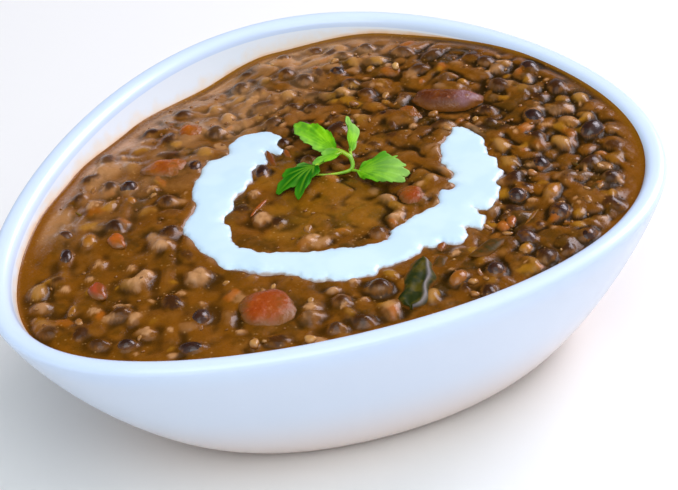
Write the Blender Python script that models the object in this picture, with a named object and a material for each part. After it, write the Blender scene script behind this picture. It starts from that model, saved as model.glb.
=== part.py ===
"""Dal makhani served in an egg-shaped white bowl.

The bowl is a glazed, egg-plan serving bowl that stands on a foot ring. The dal fills it up to an
uneven, slightly mounded level. On the dal lie a U of poured cream and a sprig of coriander, and
the largest pieces in the stew stand out of it: a kidney bean, tomato chunks and a wilted leaf.

Metres, +Z up. The origin is on the table, at the middle of the bowl's length and width, and +X
runs towards the blunt end of the egg.
"""

import math

import bmesh
import bpy
import numpy as np
from mathutils import Vector, noise

MM = 0.001

# Driving dimensions of the bowl
HALF_LENGTH = 100.6 * MM
HALF_WIDTH = 82.4 * MM
EGG_TAPER = 0.235
BLUNT_SWELL = 2.35 * MM
HEIGHT = 60.0 * MM
LIP = 6.0 * MM
FOOT_CENTRE = 16.5 * MM
FOOT_HALF_LENGTH = 64.0 * MM
FOOT_HALF_WIDTH = 50.0 * MM
FOOT_TAPER = 0.15
FLOOR = 7.0 * MM
RECESS = 1.5 * MM

# The dal's depth below the rim, where it meets the wall: (direction in degrees, millimetres)
EDGE_DEPTHS = (
    (-150, 5.5),
    (-110, 5.0),
    (-70, 3.6),
    (-30, 2.0),
    (0, 2.3),
    (30, 5.2),
    (52, 8.6),
    (70, 12.0),
    (93, 9.8),
    (120, 7.3),
    (141, 5.7),
    (180, 6.2),
)
CENTRE_DEPTH = 4.6 * MM
SWELL_HEIGHT = 0.5 * MM
GAP = 0.3 * MM

SEGMENTS = 56


def clear_scene():
    """Remove every object, so that the script starts from an empty scene."""
    for item in list(bpy.data.objects):
        bpy.data.objects.remove(item, do_unlink=True)


def finish(name, color, roughness, metallic=0.0):
    """Make a Principled material."""
    material = bpy.data.materials.new(name)
    material.use_nodes = True
    shader = material.node_tree.nodes["Principled BSDF"]
    shader.inputs["Base Color"].default_value = (*color, 1.0)
    shader.inputs["Roughness"].default_value = roughness
    shader.inputs["Metallic"].default_value = metallic
    return material


def add_object(name, mesh_data, material):
    """Turn a bmesh into a smooth-shaded object with one material."""
    bmesh.ops.recalc_face_normals(mesh_data, faces=mesh_data.faces)
    mesh = bpy.data.meshes.new(name)
    mesh_data.to_mesh(mesh)
    mesh_data.free()
    mesh.shade_smooth()
    mesh.set_sharp_from_angle(angle=math.radians(50))
    mesh.materials.append(material)
    item = bpy.data.objects.new(name, mesh)
    bpy.context.scene.collection.objects.link(item)
    return item


# --- The bowl's plan and wall -------------------------------------------------------------------


def rim_point(t):
    """Outer edge of the rim at the egg's angle t."""
    x = HALF_LENGTH * math.cos(t) + BLUNT_SWELL * (1 - math.cos(2 * t))
    y = HALF_WIDTH * math.sin(t) * (1 + EGG_TAPER * math.cos(t))
    return Vector((x, y))


def foot_point(t):
    """Outer edge of the foot at the egg's angle t."""
    x = FOOT_CENTRE + FOOT_HALF_LENGTH * math.cos(t)
    y = FOOT_HALF_WIDTH * math.sin(t) * (1 + FOOT_TAPER * math.cos(t))
    return Vector((x, y))


def wall_fraction(fraction):
    """How far in the wall has come, from 0 at the rim to 1 at the foot."""
    return 1 - (1 - min(fraction, 1.0) ** 1.18) ** (1 / 1.267)


def outline_point(t, fraction):
    """Outer wall in plan at the egg's angle t, from the rim's outline to the foot's."""
    return rim_point(t).lerp(foot_point(t), fraction)


def wall_point(t, depth, inset):
    """Point on the outer wall, at a depth below the rim, moved inwards by inset."""
    step = 1e-4
    fraction = wall_fraction(depth / HEIGHT)
    along = outline_point(t + step, fraction) - outline_point(t - step, fraction)
    normal = Vector((along.y, -along.x)).normalized()
    plan = outline_point(t, fraction) - normal * inset
    return Vector((plan.x, plan.y, HEIGHT - depth))


def inner_point(t, depth, inset=0.0):
    """Point on the bowl's inner wall, which turns into the floor with a round corner."""
    share = depth / (HEIGHT - FLOOR)
    corner = 7.0 * MM * share**8
    return wall_point(t, depth, LIP + corner + inset)


def angles():
    """The egg's angles at which every ring has its points."""
    return [2 * math.pi * index / SEGMENTS for index in range(SEGMENTS)]


def add_ring(mesh_data, points):
    """Add one ring of vertices."""
    return [mesh_data.verts.new(point) for point in points]


def bridge(mesh_data, lower, upper):
    """Join two rings of equal length with quads."""
    count = len(lower)
    for index in range(count):
        following = (index + 1) % count
        mesh_data.faces.new((lower[index], lower[following], upper[following], upper[index]))


def cap(mesh_data, ring, height):
    """Close a ring with a fan of triangles round its middle."""
    middle = sum((vertex.co for vertex in ring), Vector()) / len(ring)
    centre = mesh_data.verts.new((middle.x, middle.y, height))
    for index, vertex in enumerate(ring):
        mesh_data.faces.new((vertex, ring[(index + 1) % len(ring)], centre))


def inner_depths():
    """Depths of the rings of the inner wall, from under the lip to the floor."""
    return [depth * MM for depth in (7, 14, 22, 30, 38, 45, 50, 53)]


def build_bowl(material):
    """The egg-shaped bowl: foot ring, wall and rounded lip, as one closed shell."""
    # (depth below the rim, inset from the outer wall)
    foot_rings = ((58.5, 10.0), (60.0, 8.5), (60.0, 3.4), (59.3, 1.4), (57.6, 0.3))
    wall_rings = ((53, 0), (46, 0), (38, 0), (30, 0), (22, 0), (14, 0), (8, 0), (4, 0))
    lip_rings = ((2.0, 0.1), (1.0, 0.5), (0.3, 1.3), (0.0, 2.4), (0.0, 3.6), (0.35, 4.7), (1.1, 5.5), (2.4, 6.0))
    mesh_data = bmesh.new()
    rings = []
    for depth, inset in foot_rings + wall_rings + lip_rings:
        rings.append(add_ring(mesh_data, [wall_point(t, depth * MM, inset * MM) for t in angles()]))
    for depth in inner_depths():
        rings.append(add_ring(mesh_data, [inner_point(t, depth) for t in angles()]))
    for lower, upper in zip(rings, rings[1:]):
        bridge(mesh_data, lower, upper)
    cap(mesh_data, rings[0], RECESS)
    cap(mesh_data, rings[-1], FLOOR)
    return add_object("bowl", mesh_data, material)


# --- The dal's level ----------------------------------------------------------------------------


def edge_depth(direction):
    """Depth of the dal's edge below the rim, read from EDGE_DEPTHS along a periodic smooth curve."""
    degrees = (math.degrees(direction) + 150) % 360 - 150
    count = len(EDGE_DEPTHS)
    for index in range(count):
        start, first = EDGE_DEPTHS[index]
        end, second = EDGE_DEPTHS[(index + 1) % count]
        end += 360 if end < start else 0
        if start <= degrees <= end:
            share = (degrees - start) / (end - start)
            eased = share * share * (3 - 2 * share)
            return (first + (second - first) * eased) * MM
    return EDGE_DEPTHS[0][1] * MM


def wall_reach(count=360):
    """Plan distance of the inner wall from the origin, over all directions, at the dal's edge."""
    directions, distances = [], []
    for index in range(count):
        point = inner_point(2 * math.pi * index / count, 6 * MM, GAP)
        directions.append(math.atan2(point.y, point.x))
        distances.append(math.hypot(point.x, point.y))
    order = np.argsort(directions)
    return np.array(directions)[order], np.array(distances)[order]


REACH_DIRECTIONS, REACH_DISTANCES = wall_reach()


def dal_height(x, y):
    """Height of the dal's surface above the table at a place in the bowl's plan."""
    direction = math.atan2(y, x)
    reach = float(np.interp(direction, REACH_DIRECTIONS, REACH_DISTANCES, period=2 * math.pi))
    ratio = min(math.hypot(x, y) / reach, 1.0)
    depth = CENTRE_DEPTH + (edge_depth(direction) - CENTRE_DEPTH) * ratio**2
    waves = math.sin(x / MM / 9.0 + 1.0) * math.cos(y / MM / 11.0 + x / MM / 31.0)
    return HEIGHT - depth + SWELL_HEIGHT * waves * (1 - ratio**4)


def build_dal(material):
    """The dal: one solid from the bowl's floor up to its uneven level."""
    mesh_data = bmesh.new()
    edges = [edge_depth(math.atan2(*inner_point(t, 6 * MM).yx)) for t in angles()]
    rings = []
    for depth in reversed(inner_depths()[1:]):
        lift = GAP if depth > 52 * MM else 0.0
        rings.append(add_ring(mesh_data, [inner_point(t, depth, GAP) + Vector((0, 0, lift)) for t in angles()]))
    edge = [inner_point(t, depth, GAP + 0.1 * MM) for t, depth in zip(angles(), edges)]
    rings.append(add_ring(mesh_data, edge))
    middle = Vector((4 * MM, 0, 0))
    for share in (0.95, 0.86, 0.75, 0.64, 0.53, 0.42, 0.31, 0.20, 0.10):
        points = []
        for corner in edge:
            place = middle + (corner - middle) * share
            points.append(Vector((place.x, place.y, dal_height(place.x, place.y))))
        rings.append(add_ring(mesh_data, points))
    for lower, upper in zip(rings, rings[1:]):
        bridge(mesh_data, lower, upper)
    cap(mesh_data, rings[0], FLOOR + GAP)
    cap(mesh_data, rings[-1], dal_height(middle.x, middle.y))
    return add_object("dal", mesh_data, material)


# --- Cream --------------------------------------------------------------------------------------

# The U's route over the dal: (x, y, width), in millimetres
CREAM_ROUTE = (
    (14.0, 29.5, 12.0),
    (7.0, 29.5, 14.0),
    (-2.0, 27.0, 13.0),
    (-11.0, 23.0, 12.0),
    (-20.0, 17.5, 11.5),
    (-28.0, 10.5, 11.0),
    (-32.5, 2.0, 10.0),
    (-34.0, -6.5, 10.0),
    (-30.5, -15.5, 10.5),
    (-25.0, -24.0, 11.0),
    (-17.0, -31.0, 11.5),
    (-7.0, -36.0, 11.5),
    (4.0, -38.0, 13.0),
    (15.0, -38.5, 15.5),
    (25.0, -36.5, 15.0),
    (34.0, -31.0, 14.0),
    (41.0, -24.5, 12.5),
    (47.0, -17.5, 11.0),
    (51.5, -12.0, 8.5),
)
CREAM_ABOVE = 1.0 * MM
CREAM_BELOW = 1.6 * MM
CREAM_STATIONS = 46
CREAM_SIDES = 12


def smooth_route(points, count):
    """Evenly spaced rows of a Catmull-Rom curve through the route's rows."""
    rows = np.array(points, float)
    rows = np.vstack((2 * rows[0] - rows[1], rows, 2 * rows[-1] - rows[-2]))
    fine = []
    for index in range(1, len(rows) - 2):
        before, start, end, after = rows[index - 1 : index + 3]
        for share in np.linspace(0, 1, 12, endpoint=False):
            linear = end - before
            square = 2 * before - 5 * start + 4 * end - after
            cube = 3 * start - before - 3 * end + after
            fine.append(start + 0.5 * share * (linear + share * (square + share * cube)))
    fine.append(rows[-2])
    fine = np.array(fine)
    lengths = np.concatenate(([0], np.cumsum(np.linalg.norm(np.diff(fine[:, :2], axis=0), axis=1))))
    wanted = np.linspace(0, lengths[-1], count)
    return np.stack([np.interp(wanted, lengths, fine[:, column]) for column in range(rows.shape[1])], axis=1)


def cream_solid(grow):
    """The cream's ribbon, half sunk in the dal, larger by grow all round."""
    route = smooth_route(CREAM_ROUTE, CREAM_STATIONS)
    plan = route[:, :2] * MM
    along = np.gradient(plan, axis=0)
    along /= np.linalg.norm(along, axis=1, keepdims=True)
    mesh_data = bmesh.new()
    rings = []
    for index in range(CREAM_STATIONS):
        end = min(index, CREAM_STATIONS - 1 - index)
        round_off = math.sqrt(1 - max(0.0, 1 - (end + 0.35) / 2.6) ** 2)
        half = route[index, 2] * MM / 2 * round_off + grow
        side = np.array((-along[index, 1], along[index, 0]))
        points = []
        for step in range(CREAM_SIDES):
            angle = 2 * math.pi * step / CREAM_SIDES
            across = math.copysign(abs(math.cos(angle)) ** 0.8, math.cos(angle)) * half
            thickness = CREAM_ABOVE if math.sin(angle) > 0 else CREAM_BELOW
            up = math.copysign(abs(math.sin(angle)) ** 0.8, math.sin(angle)) * (thickness * round_off + grow)
            place = plan[index] + side * across
            points.append(Vector((place[0], place[1], dal_height(*plan[index]) + up)))
        rings.append(add_ring(mesh_data, points))
    for first, second in zip(rings, rings[1:]):
        bridge(mesh_data, first, second)
    for ring, way in ((rings[0], -1), (rings[-1], 1)):
        direction = along[0 if way < 0 else -1] * way
        middle = sum((vertex.co for vertex in ring), Vector()) / len(ring)
        reach = 0.8 * MM + grow
        tip = mesh_data.verts.new(middle + Vector((direction[0] * reach, direction[1] * reach, 0)))
        for index, vertex in enumerate(ring):
            mesh_data.faces.new((vertex, ring[(index + 1) % len(ring)], tip))
    return mesh_data


# --- Large pieces in the stew -------------------------------------------------------------------

# name: (x, y, length, width, thickness, turn in degrees, lift above the level, bend, lumpiness)
CHUNKS = {
    "kidney_bean": (61.0, 2.8, 21.0, 9.5, 8.5, -55.0, -0.6, 0.09, 0.02),
    "tomato_chunk_front": (-44.3, -31.0, 15.5, 15.6, 9.0, 60.0, -1.6, 0.0, 0.10),
    "tomato_chunk_left": (-15.0, 41.5, 14.5, 11.0, 8.0, -30.0, -1.6, 0.10, 0.10),
    "tomato_chunk_back": (4.5, 53.0, 10.0, 8.0, 7.0, 15.0, -1.2, 0.0, 0.10),
    "tomato_chunk_middle": (17.5, -23.5, 10.0, 8.0, 7.0, 75.0, -1.4, 0.0, 0.10),
    "tomato_chunk_right": (49.0, 7.0, 9.5, 6.5, 6.0, 75.0, -1.3, 0.0, 0.10),
    "wilted_leaf": (-12.0, -52.6, 21.0, 9.0, 3.6, 35.0, -0.5, -0.08, 0.06),
}


def chunk_solid(name, grow):
    """A rounded, slightly lumpy piece lying in the dal, larger by grow all round."""
    x, y, length, width, thickness, turn, lift, bend, lumps = CHUNKS[name]
    seed = Vector((x, y, 7.0))
    mesh_data = bmesh.new()
    bmesh.ops.create_icosphere(mesh_data, subdivisions=2, radius=1.0)
    angle = math.radians(turn)
    base = dal_height(x * MM, y * MM) + lift * MM
    for vertex in mesh_data.verts:
        way = vertex.co.normalized()
        size = 1 + lumps * noise.noise(way * 1.6 + seed)
        place = Vector((way.x * length, way.y * width, way.z * thickness)) * (size * MM / 2)
        place += way * grow
        place.y += bend * (place.x**2 / (length * MM) * 4 - length * MM / 4)
        turned_x = place.x * math.cos(angle) - place.y * math.sin(angle)
        turned_y = place.x * math.sin(angle) + place.y * math.cos(angle)
        vertex.co = Vector((x * MM + turned_x, y * MM + turned_y, base + place.z))
    return mesh_data


def cut_pocket(item, name, mesh_data):
    """Cut a pocket in an object with a closed cutter, and leave the cutter as a wire guide."""
    cutter = add_object(f"{name}_pocket", mesh_data, item.data.materials[0])
    cutter.hide_render = True
    cutter.display_type = "WIRE"
    modifier = item.modifiers.new(f"pocket_{name}", "BOOLEAN")
    modifier.operation = "DIFFERENCE"
    modifier.solver = "EXACT"
    modifier.object = cutter


# --- Coriander sprig ----------------------------------------------------------------------------

# Stems: each a list of (x, y, height above the dal), in millimetres
STEMS = (
    ((7.0, 4.5, 0.9), (10.5, 0.5, 0.9), (15.2, -2.3, 1.4), (17.2, -0.8, 3.4), (16.6, 2.0, 5.0), (15.8, 5.4, 5.2)),
    ((16.6, 2.0, 5.0), (12.5, 3.4, 4.2), (7.8, 4.0, 3.6)),
    ((15.2, -2.3, 1.4), (15.4, -6.0, 2.2)),
    ((17.2, -0.8, 3.4), (18.8, 1.2, 5.4)),
)
STEM_RADIUS = 0.55 * MM
# Leaves: (base, tip, height of base and tip above the dal, width, roll in degrees, lobes)
LEAVES = (
    ((15.8, 4.6), (18.0, 23.0), (5.2, 6.0), 8.5, -12.0, 0.12),
    ((7.8, 4.6), (-6.5, 1.6), (3.6, 1.2), 12.5, 8.0, 0.26),
    ((15.4, -5.2), (20.5, -19.5), (2.2, 2.6), 11.5, 10.0, 0.26),
    ((18.6, 0.9), (24.5, 8.5), (5.2, 10.0), 5.5, 62.0, 0.10),
)
LEAF_THICKNESS = 0.8 * MM


def stem_solid(route):
    """A stem: a six-sided tube along a smooth route, with closed ends."""
    points = smooth_route(route, 4 * (len(route) - 1) + 1)
    places = [Vector((p[0] * MM, p[1] * MM, dal_height(p[0] * MM, p[1] * MM) + p[2] * MM)) for p in points]
    mesh_data = bmesh.new()
    rings = []
    for index, place in enumerate(places):
        way = (places[min(index + 1, len(places) - 1)] - places[max(index - 1, 0)]).normalized()
        side = way.cross(Vector((0, 0, 1))).normalized()
        up = side.cross(way)
        turns = [2 * math.pi * step / 6 for step in range(6)]
        rings.append(
            add_ring(mesh_data, [place + (side * math.cos(a) + up * math.sin(a)) * STEM_RADIUS for a in turns])
        )
    for first, second in zip(rings, rings[1:]):
        bridge(mesh_data, first, second)
    mesh_data.faces.new(rings[0])
    mesh_data.faces.new(rings[-1])
    return mesh_data


def leaf_half_width(share, lobes):
    """Half width of a leaf along its length, from 0 at the base to 1 at the tip, with shallow lobes."""
    body = math.sin(math.pi * max(share, 0.0) ** 0.8) ** 0.75
    return body * (1 - lobes * (0.5 + 0.5 * math.cos(share * 5 * math.pi)))


def leaf_solid(base, tip, heights, width, roll, lobes):
    """A leaf blade: a thin curved plate with a lobed outline."""
    start = Vector((base[0] * MM, base[1] * MM, dal_height(base[0] * MM, base[1] * MM) + heights[0] * MM))
    end = Vector((tip[0] * MM, tip[1] * MM, dal_height(tip[0] * MM, tip[1] * MM) + heights[1] * MM))
    way = (end - start).normalized()
    side = way.cross(Vector((0, 0, 1))).normalized()
    side = side * math.cos(math.radians(roll)) + way.cross(side) * math.sin(math.radians(roll))
    up = side.cross(way)
    up = up if up.z > 0 else -up
    length = (end - start).length
    stations = 9
    mesh_data = bmesh.new()
    rings = []
    for index in range(stations):
        share = -0.05 + 1.02 * index / (stations - 1)
        half = max(width * MM / 2 * leaf_half_width(share, lobes), 0.6 * MM)
        middle = start + way * (length * share) + up * (math.sin(math.pi * share) * 1.2 * MM)
        ring = []
        for across, lift in ((-1, 0.10), (0, -0.04), (1, 0.10)):
            ring.append(middle + side * (half * across) + up * (lift * half + LEAF_THICKNESS / 2))
        for across, lift in ((1, 0.10), (0, -0.04), (-1, 0.10)):
            ring.append(middle + side * (half * across) + up * (lift * half - LEAF_THICKNESS / 2))
        rings.append(add_ring(mesh_data, ring))
    for first, second in zip(rings, rings[1:]):
        bridge(mesh_data, first, second)
    mesh_data.faces.new(rings[0])
    mesh_data.faces.new(rings[-1])
    return mesh_data


def build_sprig(material):
    """The coriander sprig: stems and leaf blades united into one solid."""
    sprig = add_object("coriander_sprig", stem_solid(STEMS[0]), material)
    solids = [stem_solid(route) for route in STEMS[1:]] + [leaf_solid(*leaf) for leaf in LEAVES]
    for index, mesh_data in enumerate(solids):
        piece = add_object(f"sprig_piece_{index}", mesh_data, material)
        piece.hide_render = True
        piece.display_type = "WIRE"
        modifier = sprig.modifiers.new(f"join_{index}", "BOOLEAN")
        modifier.operation = "UNION"
        modifier.solver = "EXACT"
        modifier.object = piece
    return sprig


def main():
    """Build every sub-part."""
    clear_scene()
    glaze = finish("white_glaze", (0.86, 0.89, 0.92), 0.12)
    gravy = finish("dal_gravy", (0.22, 0.085, 0.02), 0.25)
    cream = finish("cream", (0.90, 0.91, 0.88), 0.25)
    leaf = finish("coriander_green", (0.12, 0.42, 0.04), 0.4)
    chunk_finishes = {
        "kidney_bean": finish("kidney_bean_skin", (0.20, 0.06, 0.03), 0.25),
        "wilted_leaf": finish("wilted_green", (0.05, 0.06, 0.015), 0.3),
    }
    tomato = finish("tomato_red", (0.50, 0.12, 0.03), 0.25)
    build_bowl(glaze)
    dal = build_dal(gravy)
    add_object("cream", cream_solid(0.0), cream)
    cut_pocket(dal, "cream", cream_solid(GAP))
    for name in CHUNKS:
        add_object(name, chunk_solid(name, 0.0), chunk_finishes.get(name, tomato))
        cut_pocket(dal, name, chunk_solid(name, GAP))
    build_sprig(leaf)


main()
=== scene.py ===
"""Looks of dal makhani served in an egg-shaped white bowl.

The bowl is a glazed shell, and the dal in it is one body of thick gravy with a relief, in which
beans, lentils, herbs and soft pieces of tomato lie half sunk. A U of cream and a sprig of
coriander lie on top. Lengths are in millimetres inside the classes and become metres in meshes.
"""

import logging
import math
from dataclasses import dataclass, field
from enum import Enum
from typing import Callable, Iterable, Optional, Sequence, Union

import bmesh
import bpy
import numpy as np
from mathutils import Matrix, Vector
from mathutils.kdtree import KDTree


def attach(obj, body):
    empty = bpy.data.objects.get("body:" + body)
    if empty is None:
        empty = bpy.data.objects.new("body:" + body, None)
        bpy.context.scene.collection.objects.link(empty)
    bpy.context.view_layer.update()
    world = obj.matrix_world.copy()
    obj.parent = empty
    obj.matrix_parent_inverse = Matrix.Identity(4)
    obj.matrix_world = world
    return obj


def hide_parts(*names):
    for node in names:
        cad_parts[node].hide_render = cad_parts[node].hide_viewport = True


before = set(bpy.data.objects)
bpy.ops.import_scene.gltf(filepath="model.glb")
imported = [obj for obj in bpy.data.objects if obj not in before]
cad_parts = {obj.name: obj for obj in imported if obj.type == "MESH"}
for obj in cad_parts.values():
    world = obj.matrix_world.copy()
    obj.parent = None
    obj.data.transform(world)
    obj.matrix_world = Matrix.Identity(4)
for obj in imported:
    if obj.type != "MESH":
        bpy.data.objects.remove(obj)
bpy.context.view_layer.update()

MM = 0.001
BODY = "root"
LOG = logging.getLogger("dal_makhani")


# --- Shader maths ---------------------------------------------------------------------------------


class Link:
    """A shader socket that takes part in Python arithmetic."""

    def __init__(self, graph: "Graph", socket: bpy.types.NodeSocket) -> None:
        """Keep the socket and the graph that it belongs to."""
        self.graph = graph
        self.socket = socket

    def __add__(self, other: "Value") -> "Link":
        """Sum of two values."""
        return self.graph.math("ADD", self, other)

    def __sub__(self, other: "Value") -> "Link":
        """Difference of two values."""
        return self.graph.math("SUBTRACT", self, other)

    def __rsub__(self, other: "Value") -> "Link":
        """Difference of a number and this value."""
        return self.graph.math("SUBTRACT", other, self)

    def __mul__(self, other: "Value") -> "Link":
        """Product of two values."""
        return self.graph.math("MULTIPLY", self, other)

    __radd__ = __add__
    __rmul__ = __mul__

    def clamped(self) -> "Link":
        """This value held between 0 and 1."""
        return self.graph.math("ADD", self, 0.0, clamp=True)

    def step(self, low: float, high: float) -> "Link":
        """Smooth step of this value.

        Args:
            low: where the step starts.
            high: where it ends; a high below low gives a falling step.

        Returns:
            A value from 0 to 1.
        """
        settings = {"interpolation_type": "SMOOTHSTEP"}
        inputs = {"Value": self, "From Min": low, "From Max": high}
        return self.graph.node("ShaderNodeMapRange", settings, inputs, "Result")


Value = Union[Link, float]
Color = tuple[float, float, float]


def srgb(red: int, green: int, blue: int) -> Color:
    """Linear colour of a display colour.

    Args:
        red: red, from 0 to 255.
        green: green, from 0 to 255.
        blue: blue, from 0 to 255.

    Returns:
        The three linear values.
    """

    def linear(value: float) -> float:
        """Linear value of one display value."""
        return value / 12.92 if value <= 0.04045 else ((value + 0.055) / 1.055) ** 2.4

    return (linear(red / 255), linear(green / 255), linear(blue / 255))


class Graph:
    """The node tree of one Principled material, written as Python expressions."""

    def __init__(self, name: str, **constants: Union[float, Color]) -> None:
        """Make the material.

        Args:
            name: the material's name.
            constants: values for the shader's own sockets, with underscores for spaces.
        """
        self.material = bpy.data.materials.new(name)
        self.material.use_nodes = True
        self.tree = self.material.node_tree
        self.shader = self.tree.nodes["Principled BSDF"]
        for key, value in constants.items():
            socket = self.shader.inputs[key.replace("_", " ").title().replace("Ior", "IOR")]
            socket.default_value = (*value, 1.0) if isinstance(value, tuple) and len(value) == 3 else value
        self.place = self.node("ShaderNodeTexCoord", output="Object")

    def node(
        self,
        kind: str,
        settings: Optional[dict] = None,
        inputs: Optional[dict] = None,
        output: Union[str, int] = 0,
    ) -> Link:
        """Add a node.

        Args:
            kind: the node's type.
            settings: properties, which are set first.
            inputs: values or links, by socket name or number.
            output: the output socket to give back.

        Returns:
            A link to that output.
        """
        made = self.tree.nodes.new(kind)
        for key, value in (settings or {}).items():
            setattr(made, key, value)
        for key, value in (inputs or {}).items():
            if isinstance(value, Link):
                self.tree.links.new(value.socket, made.inputs[key])
            elif isinstance(value, tuple) and made.inputs[key].type == "RGBA":
                made.inputs[key].default_value = (*value, 1.0)
            else:
                made.inputs[key].default_value = value
        return Link(self, made.outputs[output])

    def math(self, operation: str, first: Value, second: Value, clamp: bool = False) -> Link:
        """A Math node on two values."""
        settings = {"operation": operation, "use_clamp": clamp}
        return self.node("ShaderNodeMath", settings, {0: first, 1: second})

    def mix(self, first: Union[Link, Color], second: Union[Link, Color], factor: Value, blend: str = "MIX") -> Link:
        """A colour mix.

        Args:
            first: colour where the factor is 0.
            second: colour where the factor is 1.
            factor: share of the second colour.
            blend: how the two are blended.

        Returns:
            The mixed colour.
        """
        settings = {"data_type": "RGBA", "blend_type": blend, "clamp_factor": True}
        return self.node("ShaderNodeMix", settings, {0: factor, 6: first, 7: second}, 2)

    def noise(self, size: float, detail: float = 2.0, roughness: float = 0.5, offset: Vector = Vector()) -> Link:
        """Fractal noise on the object's coordinates.

        Args:
            size: size of the largest blotches, in millimetres.
            detail: number of finer octaves.
            roughness: weight of the finer octaves.
            offset: shift of the pattern, in metres.

        Returns:
            A value round 0.5.
        """
        inputs = {"Vector": self.place, "Location": offset}
        place = self.node("ShaderNodeMapping", None, inputs)
        values = {"Vector": place, "Scale": 1 / (size * MM), "Detail": detail, "Roughness": roughness}
        return self.node("ShaderNodeTexNoise", None, values, "Fac")

    def cells(self, size: float, feature: str = "F1") -> Link:
        """Distance to the nearest cell centre, about size millimetres apart, from 0 to about 1."""
        inputs = {"Vector": self.place, "Scale": 1 / (size * MM)}
        return self.node("ShaderNodeTexVoronoi", {"feature": feature}, inputs, "Distance")

    def upright(self) -> Link:
        """Height of the place in the object, in metres."""
        return self.node("ShaderNodeSeparateXYZ", None, {"Vector": self.place}, "Z")

    def attribute(self, name: str, output: str = "Fac") -> Link:
        """A value that the mesh holds under a name."""
        return self.node("ShaderNodeAttribute", {"attribute_name": name}, None, output)

    def feed(self, **links: Link) -> None:
        """Connect links to the shader's sockets, named with underscores for spaces."""
        for key, link in links.items():
            self.tree.links.new(link.socket, self.shader.inputs[key.replace("_", " ").title()])

    def bump(self, height: Link, depth: float, strength: float = 1.0) -> None:
        """Feed the normal from a height.

        Args:
            height: value from 0 to 1.
            depth: relief of a step from 0 to 1, in millimetres.
            strength: share of the relief that shows.
        """
        inputs = {"Height": height, "Distance": depth * MM, "Strength": strength}
        self.feed(normal=self.node("ShaderNodeBump", None, inputs, "Normal"))


# --- Numbers --------------------------------------------------------------------------------------


def smooth(value: np.ndarray, low: float, high: float) -> np.ndarray:
    """Smooth step of an array.

    Args:
        value: the array.
        low: where the step starts.
        high: where it ends.

    Returns:
        Values from 0 to 1.
    """
    share = np.clip((value - low) / (high - low), 0, 1)
    return share * share * (3 - 2 * share)


def grain(x: np.ndarray, y: np.ndarray, size: float, seed: int) -> np.ndarray:
    """Smooth lattice noise in the plane.

    Args:
        x: first coordinates.
        y: second coordinates.
        size: distance between the lattice's points, in the coordinates' unit.
        seed: picks the lattice's values.

    Returns:
        Values from -1 to 1.
    """
    table = np.random.default_rng(seed).uniform(-1, 1, (256, 256))
    u, v = x / size + 1000.0, y / size + 1000.0
    column, row = np.floor(u).astype(int), np.floor(v).astype(int)
    s, t = u - column, v - row
    s, t = s**3 * (s * (s * 6 - 15) + 10), t**3 * (t * (t * 6 - 15) + 10)

    def at(i: int, j: int) -> np.ndarray:
        """Lattice value, i columns and j rows on."""
        return table[(column + i) % 256, (row + j) % 256]

    near = at(0, 0) * (1 - s) + at(1, 0) * s
    far = at(0, 1) * (1 - s) + at(1, 1) * s
    return near * (1 - t) + far * t


def rounded(value: np.ndarray, round_off: float = 0.14) -> np.ndarray:
    """Absolute value of an array, with a round valley in place of the crease at 0."""
    return np.sqrt(value**2 + round_off**2) - round_off


def within_u(x: np.ndarray, y: np.ndarray, low: float, high: float) -> np.ndarray:
    """Share of the open mush inside the cream's U, from 1 in its middle to 0 outside.

    Args:
        x: places in the plan.
        y: the same places' y.
        low: where the share starts to fall, in units of the U's own ellipse.
        high: where it is 0.

    Returns:
        Values from 0 to 1.
    """
    return 1 - smooth(np.hypot((x - 4) / 34, (y + 3) / 27), low, high)


def smooth_route(points: Sequence[Sequence[float]], count: int) -> np.ndarray:
    """Evenly spaced rows of a Catmull-Rom curve.

    Args:
        points: rows of coordinates and other values, of which the first two are plan coordinates.
        count: number of rows wanted.

    Returns:
        An array of count rows.
    """
    rows = np.array(points, float)
    rows = np.vstack((2 * rows[0] - rows[1], rows, 2 * rows[-1] - rows[-2]))
    fine = []
    for before, start, end, after in zip(rows, rows[1:], rows[2:], rows[3:]):
        for share in np.linspace(0, 1, 16, endpoint=False):
            square = 2 * before - 5 * start + 4 * end - after
            cube = 3 * start - before - 3 * end + after
            fine.append(start + 0.5 * share * (end - before + share * (square + share * cube)))
    fine = np.array(fine + [rows[-2]])
    steps = np.linalg.norm(np.diff(fine[:, :3], axis=0), axis=1)
    lengths = np.concatenate(([0], np.cumsum(steps)))
    wanted = np.linspace(0, lengths[-1], count)
    return np.stack([np.interp(wanted, lengths, column) for column in fine.T], axis=1)


# --- Meshes ---------------------------------------------------------------------------------------


def add_piece(
    name: str,
    points: np.ndarray,
    faces: Sequence[Sequence[int]],
    material: bpy.types.Material,
    values: Optional[dict] = None,
) -> bpy.types.Object:
    """Make a smooth-shaded mesh object.

    Args:
        name: the piece's name.
        points: vertices, in millimetres.
        faces: vertex numbers of each face.
        material: its finish.
        values: arrays of numbers, one for each vertex, by attribute name.

    Returns:
        The new object.
    """
    mesh = bpy.data.meshes.new(name)
    mesh.from_pydata((np.asarray(points) * MM).tolist(), [], [list(map(int, face)) for face in faces])
    for key, array in (values or {}).items():
        mesh.attributes.new(key, "FLOAT", "POINT").data.foreach_set("value", np.asarray(array, np.float32))
    mesh.materials.append(material)
    mesh.shade_smooth()
    mesh.validate()
    item = bpy.data.objects.new(name, mesh)
    bpy.context.scene.collection.objects.link(item)
    return item


def outward(item: bpy.types.Object) -> None:
    """Turn all faces of a closed mesh outwards."""
    mesh_data = bmesh.new()
    mesh_data.from_mesh(item.data)
    bmesh.ops.recalc_face_normals(mesh_data, faces=mesh_data.faces)
    mesh_data.to_mesh(item.data)
    mesh_data.free()


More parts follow.
